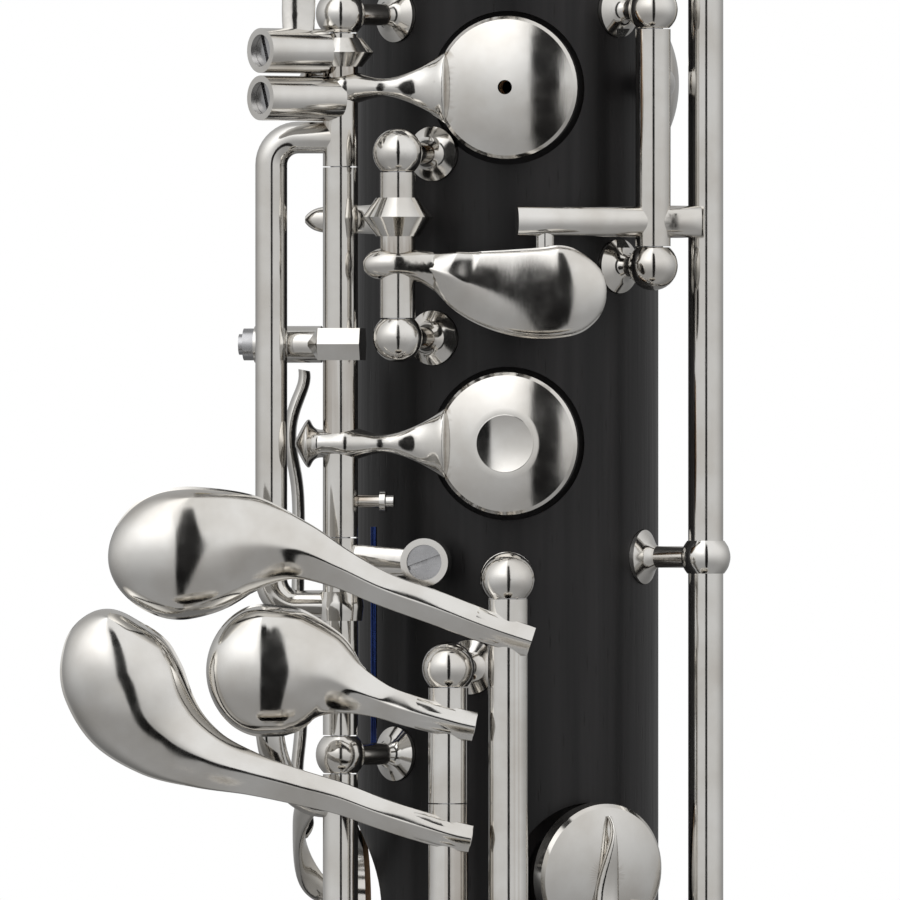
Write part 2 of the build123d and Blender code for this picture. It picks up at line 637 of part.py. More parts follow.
BOTTOM_TOUCH = ((2.7, -48.2, 1.5, 1.4), (0.3, -47.8, 1.7, 1.9), (-3.5, -46.7, 1.8, 1.6),
                (-8.5, -45.1, 1.8, 1.0), (-13.4, -43.3, 1.9, 0.6), (-18.6, -41.9, 2.1, 0.4),
                (-24.6, -40.2, 2.6, 0.2), (-30.3, -38.3, 3.8, 0.2), (-35.1, -35.5, 5.7, 0.2),
                (-38.6, -31.9, 7.1, 0.2), (-41.2, -27.2, 6.4, 0.2), (-42.5, -23.2, 4.6, 0.2),
                (-43.0, -20.6, 1.9, 0.2))
TOUCH_ARM_THICK = 1.2
TOUCH_BOWL_THICK = 2.6
LEFT_TUBE_SPLIT = STACK - 44.0
PUSH_Z = STACK - 97.0
PUSH_X = 12.6
PUSH_IN = 11.6  # how far the push arm's end lies inside its rod's line
F_SHARP_TURN = open_turn(PINKY_RIGHT_LINE, F_SHARP_SEAT)
LOW_E_TURN = open_turn(PINKY_LEFT_LINE, LOW_E_SEAT)
LOW_F_TURN = open_turn(STACK_LINE, LOW_F_SEAT)


def add_touch(line, spine):
    """A drop-shaped touchpiece: a narrow arm from a rod that swells into a bowl."""
    widest = max(half for _, _, half, _ in spine)
    stations = []
    for dx, dz, half, forward in spine:
        share = min(1.0, max(0.0, (half - 2.0) / (widest - 2.0)))
        thick = TOUCH_ARM_THICK + (TOUCH_BOWL_THICK - TOUCH_ARM_THICK) * share**0.7
        stations.append((line.beside(dx, forward, STACK + dz), half, thick))
    add_loft(stations, UP)


def top_touch_key():
    """The upper little-finger key: it shuts the F sharp cup and lifts the rocker's tail."""
    line, seat = PINKY_RIGHT_LINE, F_SHARP_SEAT
    low, high = line.above(0), line.below(1)
    with BuildPart() as shut:
        add_arm(line, seat)
        add_cup(seat, far_side(line, seat))
        cut_pad_hollow(seat)
    with BuildPart() as key:
        add(shut.part.rotate(line.axis(), F_SHARP_TURN))
        add_tube(line, low, high, STOUT_TUBE_RADIUS)
        add_touch(line, TOP_TOUCH)
        add_loft([(line.at(PUSH_Z), 2.0, 1.5), (line.beside(3.6, -3.2, PUSH_Z), 1.9, 1.2),
                  (line.beside(6.6, -7.6, PUSH_Z), 1.8, 1.0), (line.beside(9.6, -10.4, PUSH_Z), 1.8, 0.8),
                  (line.beside(PUSH_X, -PUSH_IN, PUSH_Z), 1.7, 0.75)], UP)
        cut_bores(line, low - 5, high + 5)
    save(key.part, "top_touch_key")
    save(pad_disc(seat).rotate(line.axis(), F_SHARP_TURN), "f_sharp_pad")


def middle_touch_key():
    """The middle little-finger key, which presses the low F key's lug."""
    line = PINKY_LEFT_LINE
    low, high = LEFT_TUBE_SPLIT + END_GAP, line.below(1)
    with BuildPart() as key:
        add_tube(line, low, high, STOUT_TUBE_RADIUS)
        add_touch(line, MIDDLE_TOUCH)
        cut_bores(line, low - 5, high + 5)
    save(key.part, "middle_touch_key")


def bottom_touch_key():
    """The lower little-finger key, with the low E cup."""
    line, seat = PINKY_LEFT_LINE, LOW_E_SEAT
    low, high = line.above(0), LEFT_TUBE_SPLIT
    with BuildPart() as shut:
        add_arm(line, seat)
        add_cup(seat, far_side(line, seat))
        cut_pad_hollow(seat)
    with BuildPart() as key:
        add(shut.part.rotate(line.axis(), LOW_E_TURN))
        add_tube(line, low, high, STOUT_TUBE_RADIUS)
        add_touch(line, BOTTOM_TOUCH)
        cut_bores(line, low - 5, high + 5)
    save(key.part, "bottom_touch_key")
    save(pad_disc(seat).rotate(line.axis(), LOW_E_TURN), "low_e_pad")


def low_f_key():
    """The cup on the left side, with the lug under the middle touch and a long strap to its crown."""
    line, seat = STACK_LINE, LOW_F_SEAT
    low, high = line.above(0), line.below(1)
    with BuildPart() as shut:
        add_cup(seat, far_side(line, seat))
        cut_pad_hollow(seat)
    with BuildPart() as key:
        add(shut.part.rotate(line.axis(), LOW_F_TURN))
        add_tube(line, low, high)
        add_loft([(line.beside(0, 0, STACK - 43.6), 2.0, 1.8), (line.beside(-4.8, 1.8, STACK - 43.0), 1.9, 1.3),
                  (line.beside(-7.6, 4.2, STACK - 39.8), 1.8, 1.2), (line.beside(-8.8, 6.0, STACK - 35.0), 1.8, 1.1),
                  (line.beside(-9.2, 6.3, STACK - 31.0), 1.6, 1.0)], Vector(0.5, 0, 1))
        add_loft([(line.beside(-3.0, 0.6, STACK - 43.6), 1.3, 0.9), (line.beside(-4.9, -3.4, STACK - 45.8), 1.7, 0.85),
                  (line.beside(-5.2, -8.6, STACK - 49.3), 1.9, 0.8), (line.beside(-4.3, -13.6, STACK - 53.0), 1.7, 0.8),
                  (line.beside(-1.6, -16.8, STACK - 56.0), 1.4, 0.9)], Vector(0, 0.5, -1))
        add_loft([(line.beside(-4.9, -8.0, STACK - 48.4), 1.6, 0.8), (line.beside(-5.0, -9.0, STACK - 44.0), 2.0, 0.8),
                  (line.beside(-5.1, -9.2, STACK - 36.0), 2.0, 0.8), (line.beside(-5.3, -9.2, STACK - 24.0), 2.0, 0.8),
                  (line.beside(-5.3, -9.2, STACK - 9.0), 2.0, 0.8), (line.beside(-5.6, -9.2, STACK - 3.6), 2.1, 0.8),
                  (line.beside(-6.3, -9.2, STACK + 0.6), 2.2, 0.8), (line.beside(-6.2, -9.2, STACK + 3.6), 2.2, 0.8),
                  (line.beside(-5.2, -9.2, STACK + 6.8), 2.0, 0.8), (line.beside(-4.6, -9.2, STACK + 10.0), 1.7, 0.75)],
                 Vector(0, 1, 0))
        cut_bores(line, low - 5, high + 5)
    save(key.part, "low_f_key")
    save(pad_disc(seat).rotate(line.axis(), LOW_F_TURN), "low_f_pad")


# ---------------------------------------------------------------- rocking keys on cross pivots
def rocking_key(name, pivot, seat, turn, tail, touch_half, tail_radius):
    """A key that rocks on a cross pivot: a pointed strap up over its cup and a tail below."""
    crown = seat.radius + CUP_CROWN
    rise = seat.z - pivot.z
    hub = pivot.half - 2.2
    shape = ((-tail, tail_radius, touch_half, 1.0), (-tail * 0.85, tail_radius + 0.1, touch_half, 1.1),
             (-tail * 0.5, pivot.radius + 0.8, 1.7, 1.3), (0.0, pivot.radius + 0.7, 2.4, 1.7),
             (7.0, pivot.radius, 2.0, 1.5), (rise - seat.cup * 0.6, crown + 0.5, 1.8, 1.1),
             (rise + seat.cup * 0.2, crown + 0.3, 1.1, 0.9), (rise + seat.cup * 0.84, crown - 0.75, 0.25, 0.3))
    with BuildPart() as key:
        add_disc(pivot.across(-hub), TUBE_RADIUS, 2 * hub)
        add_loft([(place(pivot.angle, radius, pivot.z + dz), half, thick)
                  for dz, radius, half, thick in shape], sideways(pivot.angle))
        add_cup(seat)
        cut_pad_hollow(seat)
        add_disc(pivot.across(-2 * pivot.half), ROD_RADIUS + ROD_CLEARANCE, 4 * pivot.half, Mode.SUBTRACT)
    save(key.part.rotate(pivot.axis(), turn), f"{name}_key")
    save(pad_disc(seat).rotate(pivot.axis(), turn), f"{name}_pad")


def push_turn():
    """How far the rocker turns while the top touch shuts its own cup."""
    reach = PUSH_IN * sin(radians(ROCKER_PIVOT.angle)) + PUSH_X * cos(radians(ROCKER_PIVOT.angle))
    return abs(F_SHARP_TURN) * reach / (ROCKER_PIVOT.z - PUSH_Z)


# ---------------------------------------------------------------- linked side keys
TONGUE_ASIDE = 5.4
TONGUE_WIDTH = 2.4
TONGUE_THICK = 1.5


def add_tongue(line, z_root, z_tip, outside):
    """A flat hooked tongue that carries a key's motion past a post, outside or inside its partner."""
    forward = 0.15 if outside else -0.15 - TONGUE_THICK
    up = 1 if z_tip > z_root else -1
    length = abs(z_tip - z_root)
    reach = TONGUE_ASIDE + TONGUE_WIDTH / 2
    with BuildSketch(face_plane(line.angle, line.radius + forward, z_root)) as tongue:
        with Locations((-reach / 2, 0)):
            Rectangle(reach, 4.0)
        with Locations((-TONGUE_ASIDE, up * (length / 2 - 1.0))):
            Rectangle(TONGUE_WIDTH, length + 2.0)
    extrude(tongue.sketch, amount=TONGUE_THICK)


def low_e_flat_key():
    """The low E flat key on the long side rod."""
    line, seat = LONG_LINE, LOW_E_FLAT_SEAT
    turn = open_turn(line, seat)
    low, high = line.above(0), line.below(1)
    with BuildPart() as shut:
        add_arm(line, seat)
        add_cup(seat, far_side(line, seat))
        cut_pad_hollow(seat)
    with BuildPart() as key:
        add(shut.part.rotate(line.axis(), turn))
        add_tube(line, low, high)
        add_tongue(line, high - 3.0, line.posts[1] + 3.6, True)
        cut_bores(line, low - 5, high + 5)
    save(key.part, "low_e_flat_key")
    save(pad_disc(seat).rotate(line.axis(), turn), "low_e_flat_pad")


def side_link():
    """The long tube that carries the left hand's lever down to the low E flat key."""
    line = LONG_LINE
    low, high = line.above(1), line.below(2)
    with BuildPart() as key:
        add_tube(line, low, high)
        add_tongue(line, low + 3.0, line.posts[1] - 3.6, False)
        add_tongue(line, high - 3.0, LOWER_TOP - 4.0, True)
        cut_bores(line, low - 5, high + 5)
    save(key.part, "side_link")


def left_low_lever():
    """The left little finger's lever, above the long side rod."""
    line = LEFT_LOW_LINE
    low, high = line.above(0), line.below(1)
    with BuildPart() as key:
        add_tube(line, low, high)
        drop_touch(line, low + 28.0, 1, 27.0, 6.0, 3.0)
        add_tongue(line, low + 3.0, LOWER_TOP - 8.0, False)
        cut_bores(line, low - 5, high + 5)
    save(key.part, "left_low_lever")


# ---------------------------------------------------------------- posts, rods and springs
def add_post(angle, radius, z, ball, foot):
    """A turned post: a shank in the wood, a round foot, a waisted stem and a ball."""
    base = flat_radius(foot)
    top = radius - base
    waist = 1.35
    neck = top - sqrt(ball**2 - waist**2)
    with BuildSketch(profile_plane(angle, base, z)) as profile:
        with BuildLine():
            Polyline((0, top + ball), (0, -SHANK_LENGTH), (SHANK_RADIUS, -SHANK_LENGTH), (SHANK_RADIUS, 0),
                     (foot, 0), (foot, 0.9), (foot - 0.8, 1.4), (1.9, 1.8), (waist, 2.6), (waist, neck))
            ThreePointArc((waist, neck), (ball, top), (0, top + ball))
        make_face()
    revolve(profile.sketch, axis=Axis(place(angle, base, z), outward(angle)))


ROD_IN_BALL = 1.8  # how far a rod runs past the middle of its last post


def line_post(line, z):
    """A post with its ball, drilled for the rod and faced off where the tubes run up to it."""
    with BuildPart() as post:
        add_post(line.angle, line.radius, z, line.ball, FOOT_RADIUS)
        for sign, outermost in ((-1, line.posts[0]), (1, line.posts[-1])):
            if z != outermost:
                with Locations(line.at(z + sign * (BALL_FLAT + 4.0))):
                    Box(9.0, 9.0, 8.0, mode=Mode.SUBTRACT)
            add_disc(Plane(line.at(z)), ROD_RADIUS, sign * (ROD_IN_BALL if z == outermost else 5.0), Mode.SUBTRACT)
    return post.part


def guide_post(line, z):
    """A post whose ball is a plain ring that a long tube runs through."""
    with BuildPart() as post:
        add_post(line.angle, line.radius, z, line.ball, FOOT_RADIUS)
        add_disc(Plane(line.at(z - 5.0)), TUBE_RADIUS + 0.12, 10.0, Mode.SUBTRACT)
    return post.part


def pivot_post(pivot, sign):
    """One of the two posts of a cross pivot."""
    inner = pivot.half - 2.2 + END_GAP
    with BuildPart() as post:
        add_post(pivot.lean(sign), pivot.reach(), pivot.z, pivot.ball, pivot.foot)
        with BuildSketch(pivot.across(sign * inner)) as face:
            Rectangle(9.0, 9.0)
        extrude(face.sketch, amount=-sign * 6.0, mode=Mode.SUBTRACT)
        add_disc(pivot.across(-12.0), ROD_RADIUS, 24.0, Mode.SUBTRACT)
    return post.part


def posts():
    """Every turned post of the instrument."""
    group = [line_post(line, z) for line in LOWER_LINES + UPPER_LINES for z in line.posts]
    group += [guide_post(line, z) for line in LOWER_LINES for z in line.guides]
    group += [pivot_post(pivot, sign) for pivot in (ROCKER_PIVOT, REGISTER_PIVOT) for sign in (-1, 1)]
    save_group(group, "posts")


def hinge_rods():
    """The steel rods that the keys turn on."""
    rods = []
    for line in LOWER_LINES + UPPER_LINES:
        low, high = line.posts[0] - ROD_IN_BALL + 0.05, line.posts[-1] + ROD_IN_BALL - 0.05
        with BuildPart() as rod:
            add_disc(Plane(line.at(low)), ROD_RADIUS, high - low)
        rods.append(rod.part)
    for pivot in (ROCKER_PIVOT, REGISTER_PIVOT):
        half = pivot.half + pivot.ball - 0.3
        with BuildPart() as rod:
            add_disc(pivot.across(-half), ROD_RADIUS, 2 * half)
        rods.append(rod.part)
    save_group(rods, "hinge_rods")


NEEDLE_RADIUS = 0.4
NEEDLE_IN = 5.6  # how far inside its rod's line a needle stands
# hinge line, post that holds the needle, way it points, length
NEEDLES = ((STACK_LINE, 1, 1, 27.0), (PINKY_LEFT_LINE, 0, 1, 30.0), (PINKY_RIGHT_LINE, 0, 1, 30.0),
           (LONG_LINE, 0, 1, 34.0), (LEFT_LINE, 1, -1, 22.0), (LEFT_LINE, 0, 1, 22.0),
           (TRILL_LINE, 1, -1, 26.0), (THUMB_LINE, 1, -1, 20.0), (LEFT_LOW_LINE, 1, -1, 22.0))


def needle_springs():
    """Blue steel needles that stand in the posts beside the rods."""
    needles = []
    for line, post, way, length in NEEDLES:
        start = line.posts[post] + way * 1.4
        with BuildPart() as needle:
            plane = Plane(origin=place(line.angle, line.radius - NEEDLE_IN, start), z_dir=(0, 0, way))
            add_disc(plane, NEEDLE_RADIUS, length)
        needles.append(needle.part)
    save_group(needles, "needle_springs")


# ---------------------------------------------------------------- wooden joints
def cut_seat(seat):
    """A recessed, raised-rim pad seat and its tone hole."""
    plane = face_plane(seat.angle, seat.radius, seat.z)
    outer = seat.cup + RECESS_CLEARANCE
    add_disc(plane, outer, 12.0, Mode.SUBTRACT)
    with BuildSketch(plane) as recess:
        Circle(outer)
        Circle(seat.hole + SEAT_RIM, mode=Mode.SUBTRACT)
    extrude(recess.sketch, amount=-RECESS_DEPTH, mode=Mode.SUBTRACT)
    add_disc(plane, seat.hole, -seat.radius, Mode.SUBTRACT)


def cut_post_seat(angle, z, foot):
    """The shallow seat for a post's foot and the hole for its shank."""
    plane = face_plane(angle, flat_radius(foot), z)
    add_disc(plane, foot + 0.05, 5.0, Mode.SUBTRACT)
    add_disc(plane, SHANK_RADIUS + 0.02, -SHANK_LENGTH - 0.2, Mode.SUBTRACT)


def wooden_joint(bottom, top, lines, seats, pivot, socket_depth, socket_radius):
    """One wooden joint: a bored cylinder with a tenon below, a socket above and all its holes."""
    with BuildPart() as wood:
        add_disc(Plane.XY.offset(bottom), BODY_RADIUS, top - bottom)
        add_disc(Plane.XY.offset(bottom - TENON_LENGTH), TENON_RADIUS, TENON_LENGTH)
        add_disc(Plane.XY.offset(bottom - TENON_LENGTH), BORE_RADIUS, top - bottom + TENON_LENGTH,
                 Mode.SUBTRACT)
        add_disc(Plane.XY.offset(top - socket_depth), socket_radius, socket_depth, Mode.SUBTRACT)
        for seat in seats:
            cut_seat(seat)
        for line in lines:
            for z in line.posts + line.guides:
                cut_post_seat(line.angle, z, FOOT_RADIUS)
        for sign in (-1, 1):
            cut_post_seat(pivot.lean(sign), pivot.z, pivot.foot)
    return wood.part


def body_joints():
    """The two bored and drilled wooden joints."""
    save(wooden_joint(LOWER_BOTTOM, LOWER_TOP, LOWER_LINES, LOWER_SEATS, ROCKER_PIVOT,
                      TENON_LENGTH + 0.5, SOCKET_RADIUS), "lower_body")
    save(wooden_joint(LOWER_TOP, UPPER_TOP, UPPER_LINES, UPPER_SEATS, REGISTER_PIVOT,
                      TENON_LENGTH + 0.5, NECK_SOCKET_RADIUS), "upper_body")


def band(low, high, inner, outer, edge=0.0):
    """A ring round the body's axis, with its outer edges rounded off."""
    with BuildPart() as ring:
        with BuildSketch(Plane.XY.offset(low)):
            Circle(outer)
            Circle(inner, mode=Mode.SUBTRACT)
        extrude(amount=high - low)
        if edge:
            fillet(ring.edges().filter_by(GeomType.CIRCLE).sort_by(lambda e: e.radius)[-2:], edge)
    return ring.part


def body_rings():
    """The metal rings at the ends of the wooden joints."""
    outer = BODY_RADIUS + RING_WALL
    heights = ((LOWER_BOTTOM, RING_HEIGHT * 0.6), (LOWER_TOP - RING_HEIGHT, RING_HEIGHT),
               (LOWER_TOP, RING_HEIGHT * 0.5), (UPPER_TOP - RING_HEIGHT, RING_HEIGHT))
    save_group([band(z, z + h, BODY_RADIUS, outer, 0.6) for z, h in heights], "body_rings")


def tenon_corks():
    """Cork lapped round the tenons, the neck's foot and its mouthpiece end."""
    corks = [band(z - TENON_LENGTH + 3.0, z - 2.5, TENON_RADIUS, SOCKET_RADIUS - CORK_CLEARANCE)
             for z in (LOWER_BOTTOM, LOWER_TOP)]
    corks.append(band(UPPER_TOP - TENON_LENGTH + 3.0, UPPER_TOP - 2.5, NECK_TENON_RADIUS,
                      NECK_SOCKET_RADIUS - CORK_CLEARANCE))
    ahead = (NECK_PATH % 1).normalized()
    start = NECK_PATH @ 1 - ahead * (MOUTHPIECE_OVERLAP - 2.0)
    with BuildPart() as end_cork:
        with BuildSketch(Plane(origin=start, x_dir=(1, 0, 0), z_dir=ahead)):
            Circle(NECK_RADIUS + 1.0)
            Circle(NECK_RADIUS, mode=Mode.SUBTRACT)
        extrude(amount=MOUTHPIECE_OVERLAP - 3.0)
    corks.append(end_cork.part)
    save_group(corks, "tenon_corks")


def stop_corks():
    """Small cork bumpers glued to the wood under the keys' arms."""
    spots = ((ROCKER_PIVOT.angle, STACK - 97.0), (REGISTER_PIVOT.angle, LEFT_STACK + 63.0),
             (36.0, LEFT_STACK - 77.0), (-44.0, STACK - 110.0), (90.0, LEFT_STACK - 108.0))
    corks = []
    for angle, z in spots:
        with BuildPart() as cork:
            add_disc(face_plane(angle, BODY_RADIUS - 1.0, z), 2.0, 2.2)
            add_disc(Plane.XY.offset(z - 5.0), BODY_RADIUS, 10.0, Mode.SUBTRACT)
        corks.append(cork.part)
    save_group(corks, "stop_corks")


# ---------------------------------------------------------------- neck and mouthpiece
def arc_step(point, angle, curve, bend):
    """Middle and end of an arc in the Y-Z plane that starts at a heading from straight up."""
    a, b = radians(angle), radians(angle + bend)
    m = (a + b) / 2
    sign = 1 if bend > 0 else -1
    centre = point + Vector(0, cos(a), -sin(a)) * (sign * curve)
    middle = centre - Vector(0, cos(m), -sin(m)) * (sign * curve)
    end = centre - Vector(0, cos(b), -sin(b)) * (sign * curve)
    return middle, end


def neck_path(start_z):
    """The neck's centre line: up, back over towards the player, and a little up again."""
    rise_top = Vector(0, 0, UPPER_TOP + NECK_RISE)
    middle, bend_end = arc_step(rise_top, 0, NECK_CURVE, NECK_BEND)
    ahead = Vector(0, sin(radians(NECK_BEND)), cos(radians(NECK_BEND)))
    back_start = bend_end + ahead * NECK_STRAIGHT
    back_middle, back_end = arc_step(back_start, NECK_BEND, NECK_BACK_CURVE, -NECK_BACK_BEND)
    last = radians(NECK_BEND - NECK_BACK_BEND)
    tip = back_end + Vector(0, sin(last), cos(last)) * NECK_END
    with BuildLine() as path:
        Line((0, 0, start_z), rise_top)
        ThreePointArc(rise_top, middle, bend_end)
        Line(bend_end, back_start)
        ThreePointArc(back_start, back_middle, back_end)
        Line(back_end, tip)
    return path.wire()


NECK_PATH = neck_path(UPPER_TOP)


def neck():
    """The bent metal neck with its tenon sleeve, socket collar and two rings."""
    path = neck_path(UPPER_TOP - TENON_LENGTH + 1.0)
    with BuildPart() as tube:
        with BuildSketch(Plane(origin=path @ 0, z_dir=path % 0)) as outer:
            Circle(NECK_RADIUS)
        sweep(outer.sketch, path=path)
        add_disc(Plane.XY.offset(UPPER_TOP - TENON_LENGTH + 1.0), NECK_TENON_RADIUS, TENON_LENGTH - 1.0)
        add_disc(Plane.XY.offset(UPPER_TOP), BODY_RADIUS - 1.0, 2.4)
        add_disc(Plane.XY.offset(UPPER_TOP + 2.4), NECK_TENON_RADIUS, 5.0)
        add_disc(Plane.XY.offset(UPPER_TOP + 7.4), NECK_TENON_RADIUS + 1.0, 2.2)
        ahead = (NECK_PATH % 1).normalized()
        ring_at = NECK_PATH @ 1 - ahead * (MOUTHPIECE_OVERLAP + 4.5)
        add_disc(Plane(origin=ring_at, x_dir=(1, 0, 0), z_dir=ahead), NECK_RADIUS + 1.6, 3.0)
        with BuildSketch(Plane(origin=path @ 0, z_dir=path % 0)) as inner:
            Circle(NECK_RADIUS - NECK_WALL)
        sweep(inner.sketch, path=path, mode=Mode.SUBTRACT)
    save(tube.part, "neck")


MOUTH_AHEAD = (NECK_PATH % 1).normalized()
# local z runs along the mouthpiece to its tip and local y down, to the reed's side
MOUTH_PLANE = Plane(origin=NECK_PATH @ 1 - MOUTH_AHEAD * MOUTHPIECE_OVERLAP, x_dir=(1, 0, 0),
                    z_dir=MOUTH_AHEAD)
BEAK_START = 54.0
TIP_THICKNESS = 1.6
LIGATURE_LOW = 26.0
LIGATURE_HEIGHT = 22.0
LIGATURE_WALL = 0.9


def mouthpiece():
    """The hard rubber mouthpiece: a bored shank, a flat reed table, a window and a sloping beak."""
    length, table = MOUTHPIECE_LENGTH, REED_TABLE
    with BuildPart() as mouth:
        with BuildSketch(Plane.XZ) as profile:
            with BuildLine():
                Polyline((0, 0), (MOUTHPIECE_RADIUS, 0), (MOUTHPIECE_RADIUS + 0.6, 1.2),
                         (MOUTHPIECE_RADIUS + 0.6, 3.4), (MOUTHPIECE_RADIUS - 0.4, 4.4),
                         (MOUTHPIECE_RADIUS - 0.8, 12.0), (13.4, 24.0), (13.0, 60.0), (9.6, length), (0, length),
                         close=True)
            make_face()
        revolve(profile.sketch, axis=Axis.Z)
        with BuildSketch(Plane.YZ.offset(-20)) as below:
            with BuildLine():
                Polyline((table, 16.0), (30, 16.0), (30, length + 5), (table, length + 5), close=True)
            make_face()
        extrude(below.sketch, amount=40, mode=Mode.SUBTRACT)
        with BuildSketch(Plane.YZ.offset(-20)) as beak:
            with BuildLine():
                Polyline((table - TIP_THICKNESS, length + 1), (-13.2, BEAK_START), (-30, BEAK_START),
                         (-30, length + 1), close=True)
            make_face()
        extrude(beak.sketch, amount=40, mode=Mode.SUBTRACT)
        add_disc(Plane.XY, NECK_RADIUS + 1.05, MOUTHPIECE_OVERLAP + 0.3, Mode.SUBTRACT)
        add_disc(Plane.XY, 8.0, BEAK_START - 4.0, Mode.SUBTRACT)
        with BuildSketch(Plane.YZ.offset(-5.2)) as window:
            with BuildLine():
                Polyline((table + 1, BEAK_START - 6), (table + 1, length - 2.0), (table - 1.2, length - 3.0),
                         (-6.0, BEAK_START - 5), close=True)
            make_face()
        extrude(window.sketch, amount=10.4, mode=Mode.SUBTRACT)
    save(mouth.part.moved(MOUTH_PLANE.location), "mouthpiece")


def reed():
    """The cane reed: flat below, tapering from its heel to a thin tip."""
    table = REED_TABLE + 0.02
    with BuildPart() as cane:
        with BuildSketch(Plane.YZ.offset(-REED_WIDTH / 2)) as side:
            with BuildLine():
                Polyline((table, 20.0), (table + REED_THICKNESS, 20.0), (table + REED_THICKNESS, 50.0),
                         (table + 1.2, 72.0), (table + 0.3, MOUTHPIECE_LENGTH - 1), (table, MOUTHPIECE_LENGTH - 1),
                         close=True)
            make_face()
        extrude(side.sketch, amount=REED_WIDTH)
        chamfer(cane.edges().filter_by(Axis.Z).sort_by(Axis.Y)[-2:], 0.9)
    save(cane.part.moved(MOUTH_PLANE.location), "reed")


def ligature():
    """The metal band round the reed, and the knurled screw across its lugs."""
    reach = REED_TABLE + REED_THICKNESS + 0.1
    half = REED_WIDTH / 2 + 0.1
    wall = LIGATURE_WALL
    screw_y = reach + wall + 2.6
    with BuildPart() as clamp:
        with BuildSketch(Plane.XY.offset(LIGATURE_LOW)):
            Circle(13.55 + wall)
            with Locations((0, (reach + wall) / 2)):
                Rectangle(2 * (half + wall), reach + wall)
            Circle(13.55, mode=Mode.SUBTRACT)
            with Locations((0, reach / 2)):
                Rectangle(2 * half, reach, mode=Mode.SUBTRACT)
        extrude(amount=LIGATURE_HEIGHT)
        for sign in (-1, 1):
            with Locations((sign * 3.2, reach + wall + 2.2, LIGATURE_LOW + LIGATURE_HEIGHT / 2)):
                Box(2.2, 5.6, 6.0)
        with BuildSketch(Plane(origin=(-10, screw_y, LIGATURE_LOW + LIGATURE_HEIGHT / 2), z_dir=(1, 0, 0))) as hole:
            Circle(1.26)
        extrude(hole.sketch, amount=20, mode=Mode.SUBTRACT)
    save(clamp.part.moved(MOUTH_PLANE.location), "ligature")
    with BuildPart() as screw:
        origin = (-5.2, screw_y, LIGATURE_LOW + LIGATURE_HEIGHT / 2)
        add_disc(Plane(origin=origin, z_dir=(1, 0, 0)), 1.2, 10.0)
        add_disc(Plane(origin=(4.6, origin[1], origin[2]), z_dir=(1, 0, 0)), 2.4, 6.0)
    save(screw.part.moved(MOUTH_PLANE.location), "ligature_screw")


# ---------------------------------------------------------------- bell and floor peg
def bow_point(angle):
    """Point on the bow's centre line, by how far it has turned, and its heading there."""
    a = radians(angle)
    point = Vector(0, -BOW_RADIUS + BOW_RADIUS * cos(a), BOW_TOP - BOW_RADIUS * sin(a))
    return point, Vector(0, -sin(a), -cos(a))


def bell_solid(inset):
    """The bow and the flare as one solid, inset by a wall thickness for the hollow."""
    grow = ((0, 0.0), (35, 0.9), (70, 2.2), (105, 4.6), (135, 7.6), (BOW_BEND, 11.6))
    flare = ((0.2, 0.12), (0.42, 0.26), (0.62, 0.44), (0.8, 0.66), (0.92, 0.86), (1.0, 1.0))
    end, ahead = bow_point(BOW_BEND)
    throat = BOW_START_RADIUS + grow[-1][1]
    rings = [bow_point(angle) + (BOW_START_RADIUS + more,) for angle, more in grow]
    with BuildPart() as bow:
        sections = []
        for point, heading, radius in rings:
            with BuildSketch(Plane(origin=point, x_dir=(1, 0, 0), z_dir=heading)) as section:
                Circle(radius - inset)
            sections.append(section.sketch)
        loft(sections=sections)
        sections = [sections[-1]]
        for share, open_share in flare:
            radius = throat + (BELL_RIM_RADIUS - throat) * open_share
            stretch = FLARE_LENGTH * share + (0.5 if inset and share == 1.0 else 0.0)
            with BuildSketch(Plane(origin=end + ahead * stretch, x_dir=(1, 0, 0), z_dir=ahead)) as section:
                Circle(radius - inset)
            sections.append(section.sketch)
        loft(sections=sections)
    return bow.part


def bell():
    """The metal bow and bell, with the collar that holds the lower joint."""
    end, ahead = bow_point(BOW_BEND)
    with BuildPart() as shell:
        add(bell_solid(0.0))
        add_disc(Plane.XY.offset(BOW_TOP), BODY_RADIUS + 1.0, COLLAR_LENGTH)
        add_disc(Plane.XY.offset(BOW_TOP - 1.5), BODY_RADIUS - 0.2, 1.5)
        add(bell_solid(BELL_WALL), mode=Mode.SUBTRACT)
        add_disc(Plane.XY.offset(BOW_TOP - 0.01), BOW_START_RADIUS - BELL_WALL, 5.0, Mode.SUBTRACT)
        add_disc(Plane.XY.offset(LOWER_BOTTOM - TENON_LENGTH - 0.5), SOCKET_RADIUS, 30.0, Mode.SUBTRACT)
        with BuildSketch(Plane.YZ) as bead:
            middle = end + ahead * FLARE_LENGTH + Vector(0, ahead.Z, -ahead.Y) * (BELL_RIM_RADIUS - 0.2)
            with Locations((middle.Y, middle.Z)):
                Circle(1.6)
        revolve(bead.sketch, axis=Axis(end, ahead))
    save(shell.part, "bell")


def peg_receiver():
    """The socket tube under the bow that holds the floor peg."""
    outer = PEG_RADIUS + RECEIVER_WALL
    with BuildPart() as socket:
        add_disc(Plane.XY.offset(PEG_SHOWN), outer, RECEIVER_LENGTH + 12.0)
        add_disc(Plane.XY.offset(PEG_SHOWN), outer + 1.2, 4.0)
        add_disc(Plane(origin=(0, PEG_RADIUS, PEG_SHOWN + 11.0), z_dir=(0, 1, 0)), 4.2, RECEIVER_WALL + 3.4)
        add(bell_solid(-0.02), mode=Mode.SUBTRACT)
        add_disc(Plane.XY.offset(PEG_SHOWN), PEG_RADIUS + PEG_CLEARANCE, RECEIVER_LENGTH - 7.0, Mode.SUBTRACT)
        add_disc(Plane(origin=(0, 0, PEG_SHOWN + 11.0), z_dir=(0, 1, 0)), THUMBSCREW_RADIUS + 0.06, 30.0,
                 Mode.SUBTRACT)
        kept = socket.solids().sort_by(Axis.Z)[0]
    kept_part = Part() + kept
    save(kept_part, "peg_receiver")


THUMBSCREW_RADIUS = 2.0


